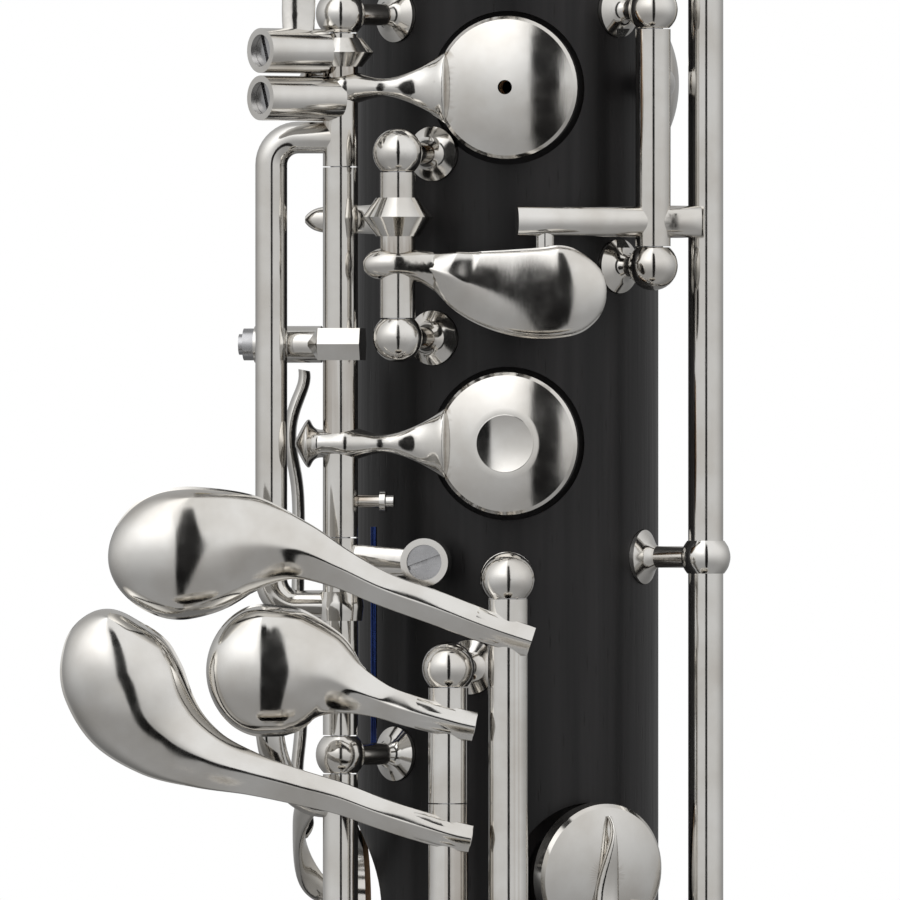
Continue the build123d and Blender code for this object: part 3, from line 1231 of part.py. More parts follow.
def floor_peg():
    """The steel floor peg with its blunt round foot."""
    with BuildPart() as peg:
        with BuildSketch(Plane.XZ) as profile:
            with BuildLine():
                Polyline((0, 0), (5.0, 0), (6.2, 1.4), (6.2, 14.0), (PEG_RADIUS, 17.0),
                         (PEG_RADIUS, PEG_SHOWN + PEG_INSERTED - 1.0),
                         (PEG_RADIUS - 1.0, PEG_SHOWN + PEG_INSERTED), (0, PEG_SHOWN + PEG_INSERTED),
                         close=True)
            make_face()
        revolve(profile.sketch, axis=Axis.Z)
    save(peg.part, "floor_peg")


def peg_thumbscrew():
    """The winged screw that clamps the peg."""
    z = PEG_SHOWN + 11.0
    out = PEG_RADIUS + RECEIVER_WALL + 3.4
    with BuildPart() as screw:
        add_disc(Plane(origin=(0, PEG_RADIUS + 0.3, z), z_dir=(0, 1, 0)), THUMBSCREW_RADIUS, out - PEG_RADIUS + 4.0)
        add_disc(Plane(origin=(0, out + 0.4, z), z_dir=(0, 1, 0)), 3.8, 3.0)
        with Locations((0, out + 5.6, z)):
            Box(16.0, 6.0, 2.4)
        fillet(screw.edges().filter_by(Axis.Z).group_by(Axis.Y)[-1], 2.0)
    save(screw.part, "peg_thumbscrew")


# ---------------------------------------------------------------- fittings at the back
def strap_ring():
    """The plate and ring that the player's strap hooks into."""
    z = LOWER_TOP - 34.0
    with BuildPart() as ring:
        with BuildSketch(face_plane(180, BODY_RADIUS - 3.0, z)):
            RectangleRounded(14.0, 26.0, 4.0)
        extrude(amount=4.8)
        with BuildSketch(Plane(origin=place(180, BODY_RADIUS + 8.2, z) + Vector(-1.6, 0, 0), z_dir=(1, 0, 0))):
            Circle(7.0)
        extrude(amount=3.2)
        add_disc(Plane.XY.offset(z - 20.0), BODY_RADIUS, 40.0, Mode.SUBTRACT)
        add_disc(Plane(origin=place(180, BODY_RADIUS + 8.6, z) + Vector(-5, 0, 0), z_dir=(1, 0, 0)), STRAP_HOLE,
                 10.0, Mode.SUBTRACT)
    save(ring.part, "strap_ring")


STRAP_HOLE = 4.0


def thumb_rest():
    """The hook at the back that the right thumb carries."""
    z = STACK + 18.0
    with BuildPart() as rest:
        with BuildSketch(face_plane(180, BODY_RADIUS - 3.0, z - 4.0)):
            RectangleRounded(15.0, 30.0, 5.0)
        extrude(amount=5.0)
        with BuildSketch(Plane(origin=place(180, BODY_RADIUS, z) - Vector(8.0, 0, 0), x_dir=(0, 1, 0),
                               z_dir=(1, 0, 0))):
            with BuildLine():
                Polyline((0.0, 5.0), (16.0, 2.6), (24.0, -4.0), (26.4, -3.4), (27.0, -1.0), (18.4, 6.2),
                         (0.0, 8.6), close=True)
            make_face()
        extrude(amount=16.0)
        add_disc(Plane.XY.offset(z - 30.0), BODY_RADIUS, 60.0, Mode.SUBTRACT)
    save(rest.part, "thumb_rest")


# ---------------------------------------------------------------- everything
def right_hand_keys():
    """Keys of the lower joint."""
    plateau_key("right_index", STACK_LINE, INDEX_SEAT, STACK_LINE.above(2), STACK_LINE.below(3))
    vented_key()
    ring_finger_key()
    middle_finger_spoon()
    side_vent_key()
    top_touch_key()
    middle_touch_key()
    bottom_touch_key()
    low_f_key()
    rocking_key("rocker", ROCKER_PIVOT, ROCKER_SEAT, push_turn(), 20.5, 2.0, BODY_RADIUS + 7.6)
    low_e_flat_key()
    side_link()


def left_hand_keys():
    """Keys of the upper joint."""
    line = LEFT_LINE
    splits = (LEFT_STACK - 10.0, LEFT_STACK + 28.0)
    plateau_key("left_index", line, UPPER_INDEX_SEAT, splits[1] + END_GAP, line.below(1))
    plateau_key("left_middle", line, UPPER_MIDDLE_SEAT, splits[0] + END_GAP, splits[1])
    plateau_key("left_ring", line, UPPER_RING_SEAT, line.above(0), splits[0])
    plateau_key("thumb", THUMB_LINE, THUMB_SEAT, THUMB_LINE.above(0), THUMB_LINE.below(1))
    lever_key("trill", TRILL_LINE, TRILL_SEAT, LEFT_STACK - 94.0, 1, 13.0, 4.2, 1.5)
    lever_key("throat", THROAT_LINE, THROAT_SEAT, LEFT_STACK + 87.5, -1, 13.0, 4.4, 3.0)
    lever_key("c_sharp", C_SHARP_LINE, C_SHARP_SEAT, LEFT_STACK - 78.0, 1, 17.0, 5.0, 1.0)
    rocking_key("register", REGISTER_PIVOT, REGISTER_SEAT, 0.0, 30.0, 4.2, BODY_RADIUS + 7.6)
    left_low_lever()


def body_pieces():
    """Everything that stays still when the keys move, and the parts of the floor peg."""
    body_joints()
    body_rings()
    tenon_corks()
    stop_corks()
    posts()
    hinge_rods()
    needle_springs()
    neck()
    mouthpiece()
    reed()
    ligature()
    bell()
    peg_receiver()
    floor_peg()
    peg_thumbscrew()
    strap_ring()
    thumb_rest()


right_hand_keys()
left_hand_keys()
body_pieces()
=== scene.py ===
"""The looks of a bass clarinet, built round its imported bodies, in metres."""

import json
import logging
import math
from dataclasses import dataclass
from enum import Enum

import bmesh
import bpy
import numpy as np
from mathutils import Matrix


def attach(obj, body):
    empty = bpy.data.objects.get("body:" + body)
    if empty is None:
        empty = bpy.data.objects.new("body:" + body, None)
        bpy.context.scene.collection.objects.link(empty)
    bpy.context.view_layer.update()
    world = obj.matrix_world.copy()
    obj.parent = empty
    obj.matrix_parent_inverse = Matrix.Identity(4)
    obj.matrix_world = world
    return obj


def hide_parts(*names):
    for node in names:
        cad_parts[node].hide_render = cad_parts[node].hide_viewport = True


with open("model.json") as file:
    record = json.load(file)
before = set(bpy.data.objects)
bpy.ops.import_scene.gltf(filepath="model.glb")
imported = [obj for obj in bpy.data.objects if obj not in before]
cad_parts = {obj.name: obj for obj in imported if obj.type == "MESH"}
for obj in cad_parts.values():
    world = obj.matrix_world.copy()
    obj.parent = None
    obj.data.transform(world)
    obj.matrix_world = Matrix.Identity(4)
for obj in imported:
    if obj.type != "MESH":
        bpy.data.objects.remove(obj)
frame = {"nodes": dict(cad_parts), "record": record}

logging.basicConfig(level=logging.INFO, format="%(name)s: %(message)s")
log = logging.getLogger("bass clarinet")

Socket = bpy.types.NodeSocket
MM = 0.001
UP = np.array([0.0, 0.0, 1.0])
FRONT = np.array([0.0, -1.0, 0.0])
STACK = 456.9  # height of the middle of the right hand's keys, mm
ROUND = 120  # points round a turned piece


# ---------------------------------------------------------------- small sums
def unit(rows: np.ndarray) -> np.ndarray:
    """Each row scaled to length one."""
    return rows / np.maximum(np.linalg.norm(rows, axis=-1, keepdims=True), 1e-12)


def eased(table: np.ndarray, count: int, tip: float = 0.0) -> tuple[np.ndarray, np.ndarray]:
    """A smooth curve through the rows of a table.

    Each column is a cubic between neighbouring rows whose slopes are the differences of the rows
    round them, and the curve runs by the length of its first three columns.

    Args:
        table: rows of x, y, z and any further measures.
        count: how many rows to return.
        tip: how far to run straight on past the last row, mm.

    Returns:
        The new rows, and how far along each one is.
    """
    steps = np.linalg.norm(np.diff(table[:, :3], axis=0), axis=1)
    at = np.concatenate([[0.0], np.cumsum(steps)])
    slope = np.gradient(table, at, axis=0)
    where = np.linspace(0.0, at[-1] + tip, count)
    i = np.clip(np.searchsorted(at, where, side="right") - 1, 0, len(at) - 2)
    span = (at[i + 1] - at[i])[:, None]
    t = np.clip((where - at[i])[:, None] / span, 0.0, 1.0)
    rows = (
        (2 * t**3 - 3 * t**2 + 1) * table[i]
        + (t**3 - 2 * t**2 + t) * span * slope[i]
        + (3 * t**2 - 2 * t**3) * table[i + 1]
        + (t**3 - t**2) * span * slope[i + 1]
    )
    past = np.maximum(where - at[-1], 0.0)[:, None]
    rows[:, :3] += past * unit(table[-1:, :3] - table[-2:-1, :3])
    return rows, where


# ---------------------------------------------------------------- surfaces
@dataclass(frozen=True)
class Skin:
    """One closed surface as a grid of points: rows along it, columns round it, a pole at each end."""

    grid: np.ndarray

    def corners(self) -> np.ndarray:
        """The grid's points, then the two poles, each in the middle of its end row."""
        return np.vstack([self.grid.reshape(-1, 3), self.grid[0].mean(axis=0), self.grid[-1].mean(axis=0)])

    def faces(self) -> tuple[np.ndarray, np.ndarray]:
        """Four-cornered faces of the grid and three-cornered faces of its ends.

        Returns:
            Both as arrays of corner numbers, turned so that they point outwards: the volume that
            they enclose, a sixth of the sum of each triangle's triple product, isn't negative.
        """
        rows, columns = self.grid.shape[:2]
        number = np.arange(rows * columns).reshape(rows, columns)
        here, along = number[:-1], number[1:]
        quads = np.stack([here, np.roll(here, -1, 1), np.roll(along, -1, 1), along], axis=-1).reshape(-1, 4)
        first, last, pole = number[0], number[-1], rows * columns
        fans = np.vstack([
            np.stack([np.roll(first, -1), first, np.full(columns, pole)], axis=-1),
            np.stack([last, np.roll(last, -1), np.full(columns, pole + 1)], axis=-1),
        ])
        points = self.corners() - self.grid.reshape(-1, 3).mean(axis=0)
        halves = np.vstack([quads[:, [0, 1, 2]], quads[:, [0, 2, 3]], fans])
        a, b, c = points[halves[:, 0]], points[halves[:, 1]], points[halves[:, 2]]
        if np.einsum("ij,ij->i", a, np.cross(b, c)).sum() < 0:
            quads, fans = quads[:, ::-1], fans[:, ::-1]
        return quads, fans


def carried(path: np.ndarray, side: np.ndarray, front: np.ndarray, across: np.ndarray, out: np.ndarray) -> Skin:
    """A profile carried along a path.

    Point (i, j) is path i, plus across (i, j) times side i, plus out (i, j) times front i.

    Args:
        path: the middle line, one row a station, mm.
        side: unit vectors to the profile's own right.
        front: unit vectors out of its front.
        across: sideways steps of the profile's points, stations by points, mm.
        out: outward steps of the same points, mm.

    Returns:
        The closed skin.
    """
    grid = path[:, None, :] + across[..., None] * side[:, None, :] + out[..., None] * front[:, None, :]
    return Skin(grid)


def frames(path: np.ndarray, across: np.ndarray) -> tuple[np.ndarray, np.ndarray]:
    """Side and front of a path at each station.

    Args:
        path: points along it.
        across: the way that the profile's width should lie, roughly.

    Returns:
        Unit sides, square to the path, and unit fronts, square to both.
    """
    ahead = unit(np.gradient(path, axis=0))
    side = unit(across - ahead * (ahead @ across)[:, None])
    return side, np.cross(side, ahead)


def turned(origin: np.ndarray, axis: np.ndarray, profile: np.ndarray) -> Skin:
    """A profile turned round an axis, as on a lathe.

    Point (i, j) is the origin, plus height i along the axis, plus radius i round it at angle j.

    Args:
        origin: where height is nothing, mm.
        axis: direction of the axis.
        profile: rows of (radius, height), mm.

    Returns:
        The closed skin.
    """
    axis = unit(np.asarray(axis, float))
    spare = np.array([1.0, 0.0, 0.0]) if abs(axis[0]) < 0.8 else np.array([0.0, 1.0, 0.0])
    x = unit(np.cross(axis, spare))
    y = np.cross(axis, x)
    a = np.arange(ROUND) * (2 * math.pi / ROUND)
    ring = np.cos(a)[:, None] * x + np.sin(a)[:, None] * y
    grid = origin + profile[:, 1, None, None] * axis + profile[:, 0, None, None] * ring[None]
    return Skin(grid)


def make_object(name: str, skins: list[Skin], finish: "Finish", sharp: float = 32.0) -> bpy.types.Object:
    """Puts skins into one mesh object at the origin.

    Args:
        name: the piece's name.
        skins: closed surfaces, mm.
        finish: what they are made of.
        sharp: edges that bend by more than this many degrees stay crisp.

    Returns:
        The object, in metres.
    """
    points, faces, start = [], [], 0
    for skin in skins:
        corners = skin.corners()
        quads, fans = skin.faces()
        points.append(corners)
        faces += (quads + start).tolist() + (fans + start).tolist()
        start += len(corners)
    mesh = bpy.data.meshes.new(name)
    mesh.from_pydata((np.vstack(points) * MM).tolist(), [], faces)
    return finished(mesh, name, finish, sharp)


def finished(mesh: bpy.types.Mesh, name: str, finish: "Finish", sharp: float) -> bpy.types.Object:
    """Shades a mesh by its edges' angles, gives it its finish and puts it in the scene."""
    mesh.validate()
    mesh.shade_smooth()
    mesh.set_sharp_from_angle(angle=math.radians(sharp))
    mesh.materials.append(finish.material())
    piece = bpy.data.objects.new(name, mesh)
    bpy.context.scene.collection.objects.link(piece)
    return piece


def body_of_node(node: str) -> str:
    """The body that holds a CAD node."""
    return next(body for body, nodes in frame["record"]["behaviour"]["bodies"].items() if node in nodes)


def show(piece: bpy.types.Object, body: str, slot: str, *nodes: str) -> None:
    """Rides a piece on its body, hides the nodes that it stands for, and reports it."""
    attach(piece, body)
    if nodes:
        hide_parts(*nodes)
    log.info("%s on %s, %d faces", piece.name, body, len(piece.data.polygons))


# ---------------------------------------------------------------- finishes
class Graph:
    """A material's nodes, laid one after another."""

    def __init__(self, name: str) -> None:
        """Starts an empty material with its shader and its Object coordinates."""
        self.material = bpy.data.materials.new(name)
        self.material.use_nodes = True
        self.nodes = self.material.node_tree.nodes
        self.links = self.material.node_tree.links
        self.shader = self.nodes["Principled BSDF"]
        self.place = self.nodes.new("ShaderNodeTexCoord").outputs["Object"]

    def put(self, **values: object) -> None:
        """Sets plain values on the shader's own sockets, by name with _ for a space."""
        for name, value in values.items():
            self.shader.inputs[name.replace("_", " ")].default_value = value

    def join(self, out: Socket, name: str) -> None:
        """Links an output to one of the shader's sockets."""
        self.links.new(out, self.shader.inputs[name])

    def stretched(self, x: float, y: float, z: float) -> Socket:
        """Object coordinates, stretched."""
        node = self.nodes.new("ShaderNodeMapping")
        node.inputs["Scale"].default_value = (x, y, z)
        self.links.new(self.place, node.inputs["Vector"])
        return node.outputs["Vector"]

    def noise(self, scale: float, detail: float = 3.0, at: Socket | None = None) -> Socket:
        """Clouded noise, so many lumps to the metre."""
        node = self.nodes.new("ShaderNodeTexNoise")
        node.inputs["Scale"].default_value = scale
        node.inputs["Detail"].default_value = detail
        self.links.new(at or self.place, node.inputs["Vector"])
        return node.outputs["Fac"]

    def cells(self, scale: float, at: Socket | None = None) -> Socket:
        """Distance to the nearest of many scattered points."""
        node = self.nodes.new("ShaderNodeTexVoronoi")
        node.inputs["Scale"].default_value = scale
        self.links.new(at or self.place, node.inputs["Vector"])
        return node.outputs["Distance"]

    def spread(self, out: Socket, low: float, high: float, first: float, last: float) -> Socket:
        """Maps low..high to first..last, held at both ends."""
        node = self.nodes.new("ShaderNodeMapRange")
        for name, value in (("From Min", low), ("From Max", high), ("To Min", first), ("To Max", last)):
            node.inputs[name].default_value = value
        self.links.new(out, node.inputs["Value"])
        return node.outputs["Result"]

    def blend(self, share: Socket, one: object, other: object) -> Socket:
        """Mixes two colours, each given plainly or as an output."""
        node = self.nodes.new("ShaderNodeMix")
        node.data_type = "RGBA"
        self.links.new(share, node.inputs[0])
        for socket, value in ((node.inputs[6], one), (node.inputs[7], other)):
            if isinstance(value, Socket):
                self.links.new(value, socket)
            else:
                socket.default_value = (*value, 1.0)
        return node.outputs[2]

    def proudness(self) -> Socket:
        """How far a place stands proud: low in a fold, high on an edge."""
        return self.nodes.new("ShaderNodeNewGeometry").outputs["Pointiness"]

    def bump(self, height: Socket, strength: float, deep: float) -> None:
        """Roughens the surface by a height, deep at most, in metres."""
        node = self.nodes.new("ShaderNodeBump")
        node.inputs["Strength"].default_value = strength
        node.inputs["Distance"].default_value = deep
        self.links.new(height, node.inputs["Height"])
        self.join(node.outputs["Normal"], "Normal")


@dataclass(frozen=True)
class Finish:
    """A finish that keeps the one material it makes."""

    name: str

    def material(self) -> bpy.types.Material:
        """The finish's material, made the first time it is asked for."""
        return bpy.data.materials.get(self.name) or self.make()

    def make(self) -> bpy.types.Material:
        """Builds the material's nodes."""
        raise NotImplementedError


@dataclass(frozen=True)
class Plate(Finish):
    """Polished metal with faint polishing marks and brown painted shade in its creases."""

    bright: tuple[float, float, float] = (0.80, 0.785, 0.755)
    dull: tuple[float, float, float] = (0.66, 0.63, 0.585)
    # painted shade: the brown that folds and corners are darkened to
    crease_shade: tuple[float, float, float] = (0.30, 0.24, 0.18)
    gloss: float = 0.07

    def make(self) -> bpy.types.Material:
        """Cloudy tone and roughness, brown painted shade in creases, and fine marks along the surface."""
        g = Graph(self.name)
        g.put(Metallic=1.0)
        clouds = g.spread(g.noise(140.0, 4.0), 0.35, 0.72, 0.0, 1.0)
        tone = g.blend(clouds, self.bright, self.dull)
        # painted shade: places low by pointiness, in folds and corners, darken to brown
        hollow = g.spread(g.proudness(), 0.40, 0.475, 0.75, 0.0)
        g.join(g.blend(hollow, tone, self.crease_shade), "Base Color")
        g.join(g.spread(g.noise(420.0, 5.0), 0.3, 0.8, self.gloss, self.gloss + 0.09), "Roughness")
        g.bump(g.noise(2600.0, 2.0, g.stretched(1.0, 1.0, 0.15)), 0.06, 0.00002)
        return g.material


@dataclass(frozen=True)
class Blackwood(Finish):
    """Oiled black hardwood: long streaks, short open pores and a satin skin."""

    dark: tuple[float, float, float] = (0.0042, 0.004, 0.0043)
    light: tuple[float, float, float] = (0.0115, 0.0105, 0.011)

    def make(self) -> bpy.types.Material:
        """Streaks and pores are noise stretched along the body."""
        g = Graph(self.name)
        g.put(Coat_Weight=0.04, Coat_Roughness=0.25, Specular_IOR_Level=0.3)
        streak = g.noise(380.0, 6.0, g.stretched(1.0, 1.0, 0.035))
        fine = g.noise(1500.0, 3.0, g.stretched(1.0, 1.0, 0.03))
        tone = g.blend(g.spread(streak, 0.36, 0.68, 0.0, 1.0), self.dark, self.light)
        pores = g.spread(g.cells(1250.0, g.stretched(1.0, 1.0, 0.14)), 0.05, 0.22, 1.0, 0.0)
        g.join(g.blend(pores, tone, (0.004, 0.0035, 0.0035)), "Base Color")
        g.join(g.spread(fine, 0.3, 0.75, 0.34, 0.5), "Roughness")
        g.bump(g.spread(g.cells(1250.0, g.stretched(1.0, 1.0, 0.14)), 0.04, 0.2, 0.0, 1.0), 0.35, 0.00006)
        return g.material


@dataclass(frozen=True)
class Steel(Finish):
    """Turned steel for rods, pegs and screws, or blued steel for springs."""

    colour: tuple[float, float, float] = (0.56, 0.56, 0.57)
    shade: tuple[float, float, float] = (0.42, 0.42, 0.43)

    def make(self) -> bpy.types.Material:
        """Cloudy tone with fine turning marks."""
        g = Graph(self.name)
        g.put(Metallic=1.0)
        g.join(g.blend(g.spread(g.noise(260.0), 0.35, 0.7, 0.0, 1.0), self.colour, self.shade), "Base Color")
        g.join(g.spread(g.noise(800.0), 0.3, 0.7, 0.2, 0.34), "Roughness")
        g.bump(g.noise(1800.0, 2.0, g.stretched(0.3, 0.3, 6.0)), 0.1, 0.00003)
        return g.material


@dataclass(frozen=True)
class Soft(Finish):
    """A matt finish with a grain: pad leather, cork or cane."""

    pale: tuple[float, float, float] = (0.42, 0.27, 0.15)
    deep: tuple[float, float, float] = (0.25, 0.14, 0.07)
    grain: float = 900.0
    stretch: tuple[float, float, float] = (1.0, 1.0, 1.0)
    rough: float = 0.7
    relief: float = 0.00012

    def make(self) -> bpy.types.Material:
        """Two tones by clouds and by cells, with the cells as relief."""
        g = Graph(self.name)
        at = g.stretched(*self.stretch)
        speck = g.spread(g.cells(self.grain, at), 0.1, 0.6, 0.0, 1.0)
        cloud = g.blend(g.spread(g.noise(self.grain * 0.3, 4.0, at), 0.35, 0.68, 0.0, 1.0), self.pale, self.deep)
        g.join(g.blend(g.spread(speck, 0.0, 0.4, 0.45, 0.0), cloud, self.deep), "Base Color")
        g.join(g.spread(speck, 0.0, 1.0, self.rough + 0.1, self.rough - 0.08), "Roughness")
        g.bump(speck, 0.5, self.relief)
        return g.material


@dataclass(frozen=True)
class Rubber(Finish):
    """Black vulcanised rubber, faintly brown and polished by hand."""

    def make(self) -> bpy.types.Material:
        """Nearly black, with clouded gloss."""
        g = Graph(self.name)
        g.put(Coat_Weight=0.2, Coat_Roughness=0.12)
        clouds = g.spread(g.noise(90.0, 4.0), 0.35, 0.7, 0.0, 1.0)
        g.join(g.blend(clouds, (0.008, 0.008, 0.008), (0.016, 0.013, 0.011)), "Base Color")
        g.join(g.spread(g.noise(500.0), 0.3, 0.7, 0.2, 0.34), "Roughness")
        g.bump(g.noise(1500.0), 0.08, 0.00003)
        return g.material


@dataclass(frozen=True)
class Ground(Finish):
    """The studio's pale floor."""

    def make(self) -> bpy.types.Material:
        """Off-white, with a very faint cloud."""
        g = Graph(self.name)
        g.put(Roughness=0.9)
        clouds = g.spread(g.noise(3.0), 0.3, 0.7, 0.0, 1.0)
        g.join(g.blend(clouds, (0.80, 0.80, 0.80), (0.84, 0.84, 0.835)), "Base Color")
        return g.material


class Kind(Enum):
    """The finishes that this instrument has."""

    SILVER = Plate("silver plate")
    WOOD = Blackwood("oiled blackwood")
    STEEL = Steel("turned steel")
    BLUE = Steel("blued spring steel", (0.03, 0.06, 0.22), (0.02, 0.03, 0.10))
    PAD = Soft("pad leather")
    CORK = Soft("cork", (0.50, 0.32, 0.17), (0.20, 0.11, 0.055), 700.0, (1.0, 1.0, 1.0), 0.85, 0.00025)
    CANE = Soft("cane", (0.72, 0.56, 0.30), (0.52, 0.36, 0.16), 1100.0, (1.0, 0.05, 1.0), 0.5, 0.00005)
    RUBBER = Rubber("vulcanised rubber")
    GROUND = Ground("studio floor")


SLOT_KINDS = {
    "wood": Kind.WOOD, "silver": Kind.SILVER, "steel": Kind.STEEL, "blue_steel": Kind.BLUE, "pad": Kind.PAD,
    "cork": Kind.CORK, "ebonite": Kind.RUBBER, "cane": Kind.CANE,
}


# ---------------------------------------------------------------- pieces taken from the frame
@dataclass(frozen=True)
class Region:
    """A box of the frame, mm, whose faces a piece leaves out because a finer surface stands there."""

    low: tuple[float, float, float]
    high: tuple[float, float, float]

    def holds(self, points: np.ndarray) -> np.ndarray:
        """True for each point, in metres, that is inside."""
        return np.all((points > np.array(self.low) * MM) & (points < np.array(self.high) * MM), axis=-1)


@dataclass(frozen=True)
class FramePiece:
    """A piece whose shape is the frame's own, welded and shaded smooth."""

    node: str
    slot: str
    left_out: Region | None = None
    sharp: float = 28.0
    weld: float = 2e-6

    def build(self) -> bpy.types.Object:
        """Welds a copy of the node's triangles: corners on the same spot, to within weld, become one.

        Returns:
            The new piece.
        """
        source = frame["nodes"][self.node].data
        points = np.empty(len(source.vertices) * 3)
        source.vertices.foreach_get("co", points)
        points = points.reshape(-1, 3)
        corners = np.empty(len(source.loops), int)
        source.loops.foreach_get("vertex_index", corners)
        _, first, number = np.unique(np.round(points / self.weld).astype(np.int64), axis=0, return_index=True,
                                     return_inverse=True)
        triangles = number.reshape(-1)[corners].reshape(-1, 3)
        real = (triangles[:, 0] != triangles[:, 1]) & (triangles[:, 1] != triangles[:, 2]) & (
            triangles[:, 2] != triangles[:, 0])
        welded = points[first]
        if self.left_out:
            real &= ~np.all(self.left_out.holds(welded)[triangles], axis=1)
        used, again = np.unique(triangles[real], return_inverse=True)
        mesh = bpy.data.meshes.new(self.node)
        mesh.from_pydata(welded[used].tolist(), [], again.reshape(-1, 3).tolist())
        if self.left_out:
            self.close(mesh)
        return finished(mesh, f"{self.node}_skin", SLOT_KINDS[self.slot].value, self.sharp)

    @staticmethod
    def close(mesh: bpy.types.Mesh) -> None:
        """Closes the hole that the left-out faces leave."""
        shape = bmesh.new()
        shape.from_mesh(mesh)
        bmesh.ops.holes_fill(shape, edges=[edge for edge in shape.edges if edge.is_boundary], sides=0)
        bmesh.ops.triangulate(shape, faces=[face for face in shape.faces if len(face.verts) > 4])
        shape.to_mesh(mesh)
        shape.free()

    def dress(self) -> None:
        """Builds the piece and shows it in its node's place."""
        show(self.build(), body_of_node(self.node), self.slot, self.node)


# ---------------------------------------------------------------- touchpieces
STATIONS = 150  # along a touchpiece
END_STATIONS = 44  # round its end
FINE_STATIONS = 3000  # of the curve that both are read from
CLEAR_OF_END = 0.3  # gap left before the first station of the end, mm
LEAST_HALF_WIDTH = 0.02  # mm
FRONT_POINTS = 47  # across the front of a cross-section
BACK_POINTS = 19  # across its back
RIM_DROP = 0.12  # from the flat rim to its outer edge, mm


@dataclass(frozen=True)
class Section:
    """Levels of a touchpiece's cross-section, outwards from its middle line, mm."""

    crest: float
    rim: float
    foot: float
    hollow: float

    def row(self) -> np.ndarray:
        """The four levels as one row."""
        return np.array([self.crest, self.rim, self.foot, self.hollow])


@dataclass(frozen=True)
class Touch:
    """A touchpiece: a ridged arm from its tube that swells into a polished bowl with a thin rolled rim."""

    name: str
    body: str
    node: str
    rod: tuple[float, float]
    table: tuple[tuple[float, float, float, float], ...]
    arm: Section = Section(1.6, 0.35, -0.6, -1.15)
    bowl: Section = Section(3.9, -0.9, -1.6, -1.1)
    narrow: float = 2.1
    left_out: Region | None = None
    tip: float = 0.2  # how far the end runs on past the last row, mm
    round_end: float = 9.0  # length over which the end rounds in, mm
    rim_share: float = 0.965  # how much of the half width is crowned, inside the flat rim

    def stations(self) -> tuple[np.ndarray, np.ndarray, np.ndarray]:
        """The touchpiece's middle line and widths.

        Returns:
            Points of the middle line, half widths, and two rows of shares: how bowl-like each station
            is, from nothing where the half width is narrow to one where it is widest, and how much
            of its swell is left, falling as a quarter of an oval over the rounded end.
        """
        rows = np.array([
            (self.rod[0] + dx, self.rod[1] - forward, STACK + dz, half) for dx, dz, half, forward in self.table
        ])
        fine, along = eased(rows, FINE_STATIONS, self.tip)
        start = along[-1] - self.round_end
        even = np.linspace(0.0, along[-1], STATIONS)
        bend = np.linspace(0.0, 0.5 * math.pi, END_STATIONS)
        far = np.concatenate([even[even < start - CLEAR_OF_END], start + self.round_end * np.sin(bend)])
        smooth = np.stack([np.interp(far, along, column) for column in fine.T], axis=-1)
        swell = np.sqrt(np.clip(1.0 - (np.maximum(far - start, 0.0) / self.round_end) ** 2, 0.0, 1.0))
        widest = int(np.argmax(smooth[:, 3]))
        share = np.clip((smooth[:, 3] - self.narrow) / (smooth[widest, 3] - self.narrow), 0.0, 1.0) ** 1.25
        share[widest:] = 1.0
        return smooth[:, :3], np.maximum(smooth[:, 3] * swell, LEAST_HALF_WIDTH), np.stack([share, swell])

    def outline(self, half: np.ndarray, shares: np.ndarray) -> tuple[np.ndarray, np.ndarray]:
        """The cross-section at every station.

        The front is a ridge, 1 - |u| to the power 1.2, on the arm and half an ellipse on the bowl,
        inside a narrow flat rim. The edge is a short wall, and the back is a shallow hollow.

        Args:
            half: half widths, mm.
            shares: how bowl-like each station is, and how much of its swell is left.

        Returns:
            Sideways steps and outward steps, stations by points, mm.
        """
        turn = np.linspace(-0.5 * math.pi, 0.5 * math.pi, FRONT_POINTS)
        u = np.sin(turn) * self.rim_share
        inner = np.abs(u) / self.rim_share
        ridge = 1.0 - np.sqrt(inner**2 + 0.0036) ** 1.2
        dome = np.sqrt(np.clip(1.0 - inner**2, 0.0, 1.0))
        share, swell = shares[0][:, None], shares[1][:, None]
        levels = self.arm.row() + share * (self.bowl.row() - self.arm.row())
        crest, rim, foot, hollow = (levels[:, i : i + 1] for i in range(4))
        shape = ridge + share * (dome - ridge)
        front = rim + (crest - rim) * shape * swell
        v = np.linspace(1.0, -1.0, BACK_POINTS)
        back = hollow + (foot - hollow) * np.abs(v) ** 2.5
        one = np.ones_like(half)[:, None]
        across = np.hstack([-one, np.tile(u, (len(half), 1)), one, np.tile(v, (len(half), 1))]) * half[:, None]
        out = np.hstack([rim - RIM_DROP, front, rim - RIM_DROP, back])
        return across, out

    def build(self) -> bpy.types.Object:
        """The touchpiece's surface: its cross-section carried along its middle line."""
        path, half, shares = self.stations()
        side, front = frames(path, UP)
        front *= np.sign(front @ FRONT)[:, None]
        across, out = self.outline(half, shares)
        return make_object(self.name, [carried(path, side, front, across, out)], Kind.SILVER.value, 40.0)

    def dress(self) -> None:
        """Builds the touchpiece and rides it on its key's body."""
        show(self.build(), self.body, "silver")


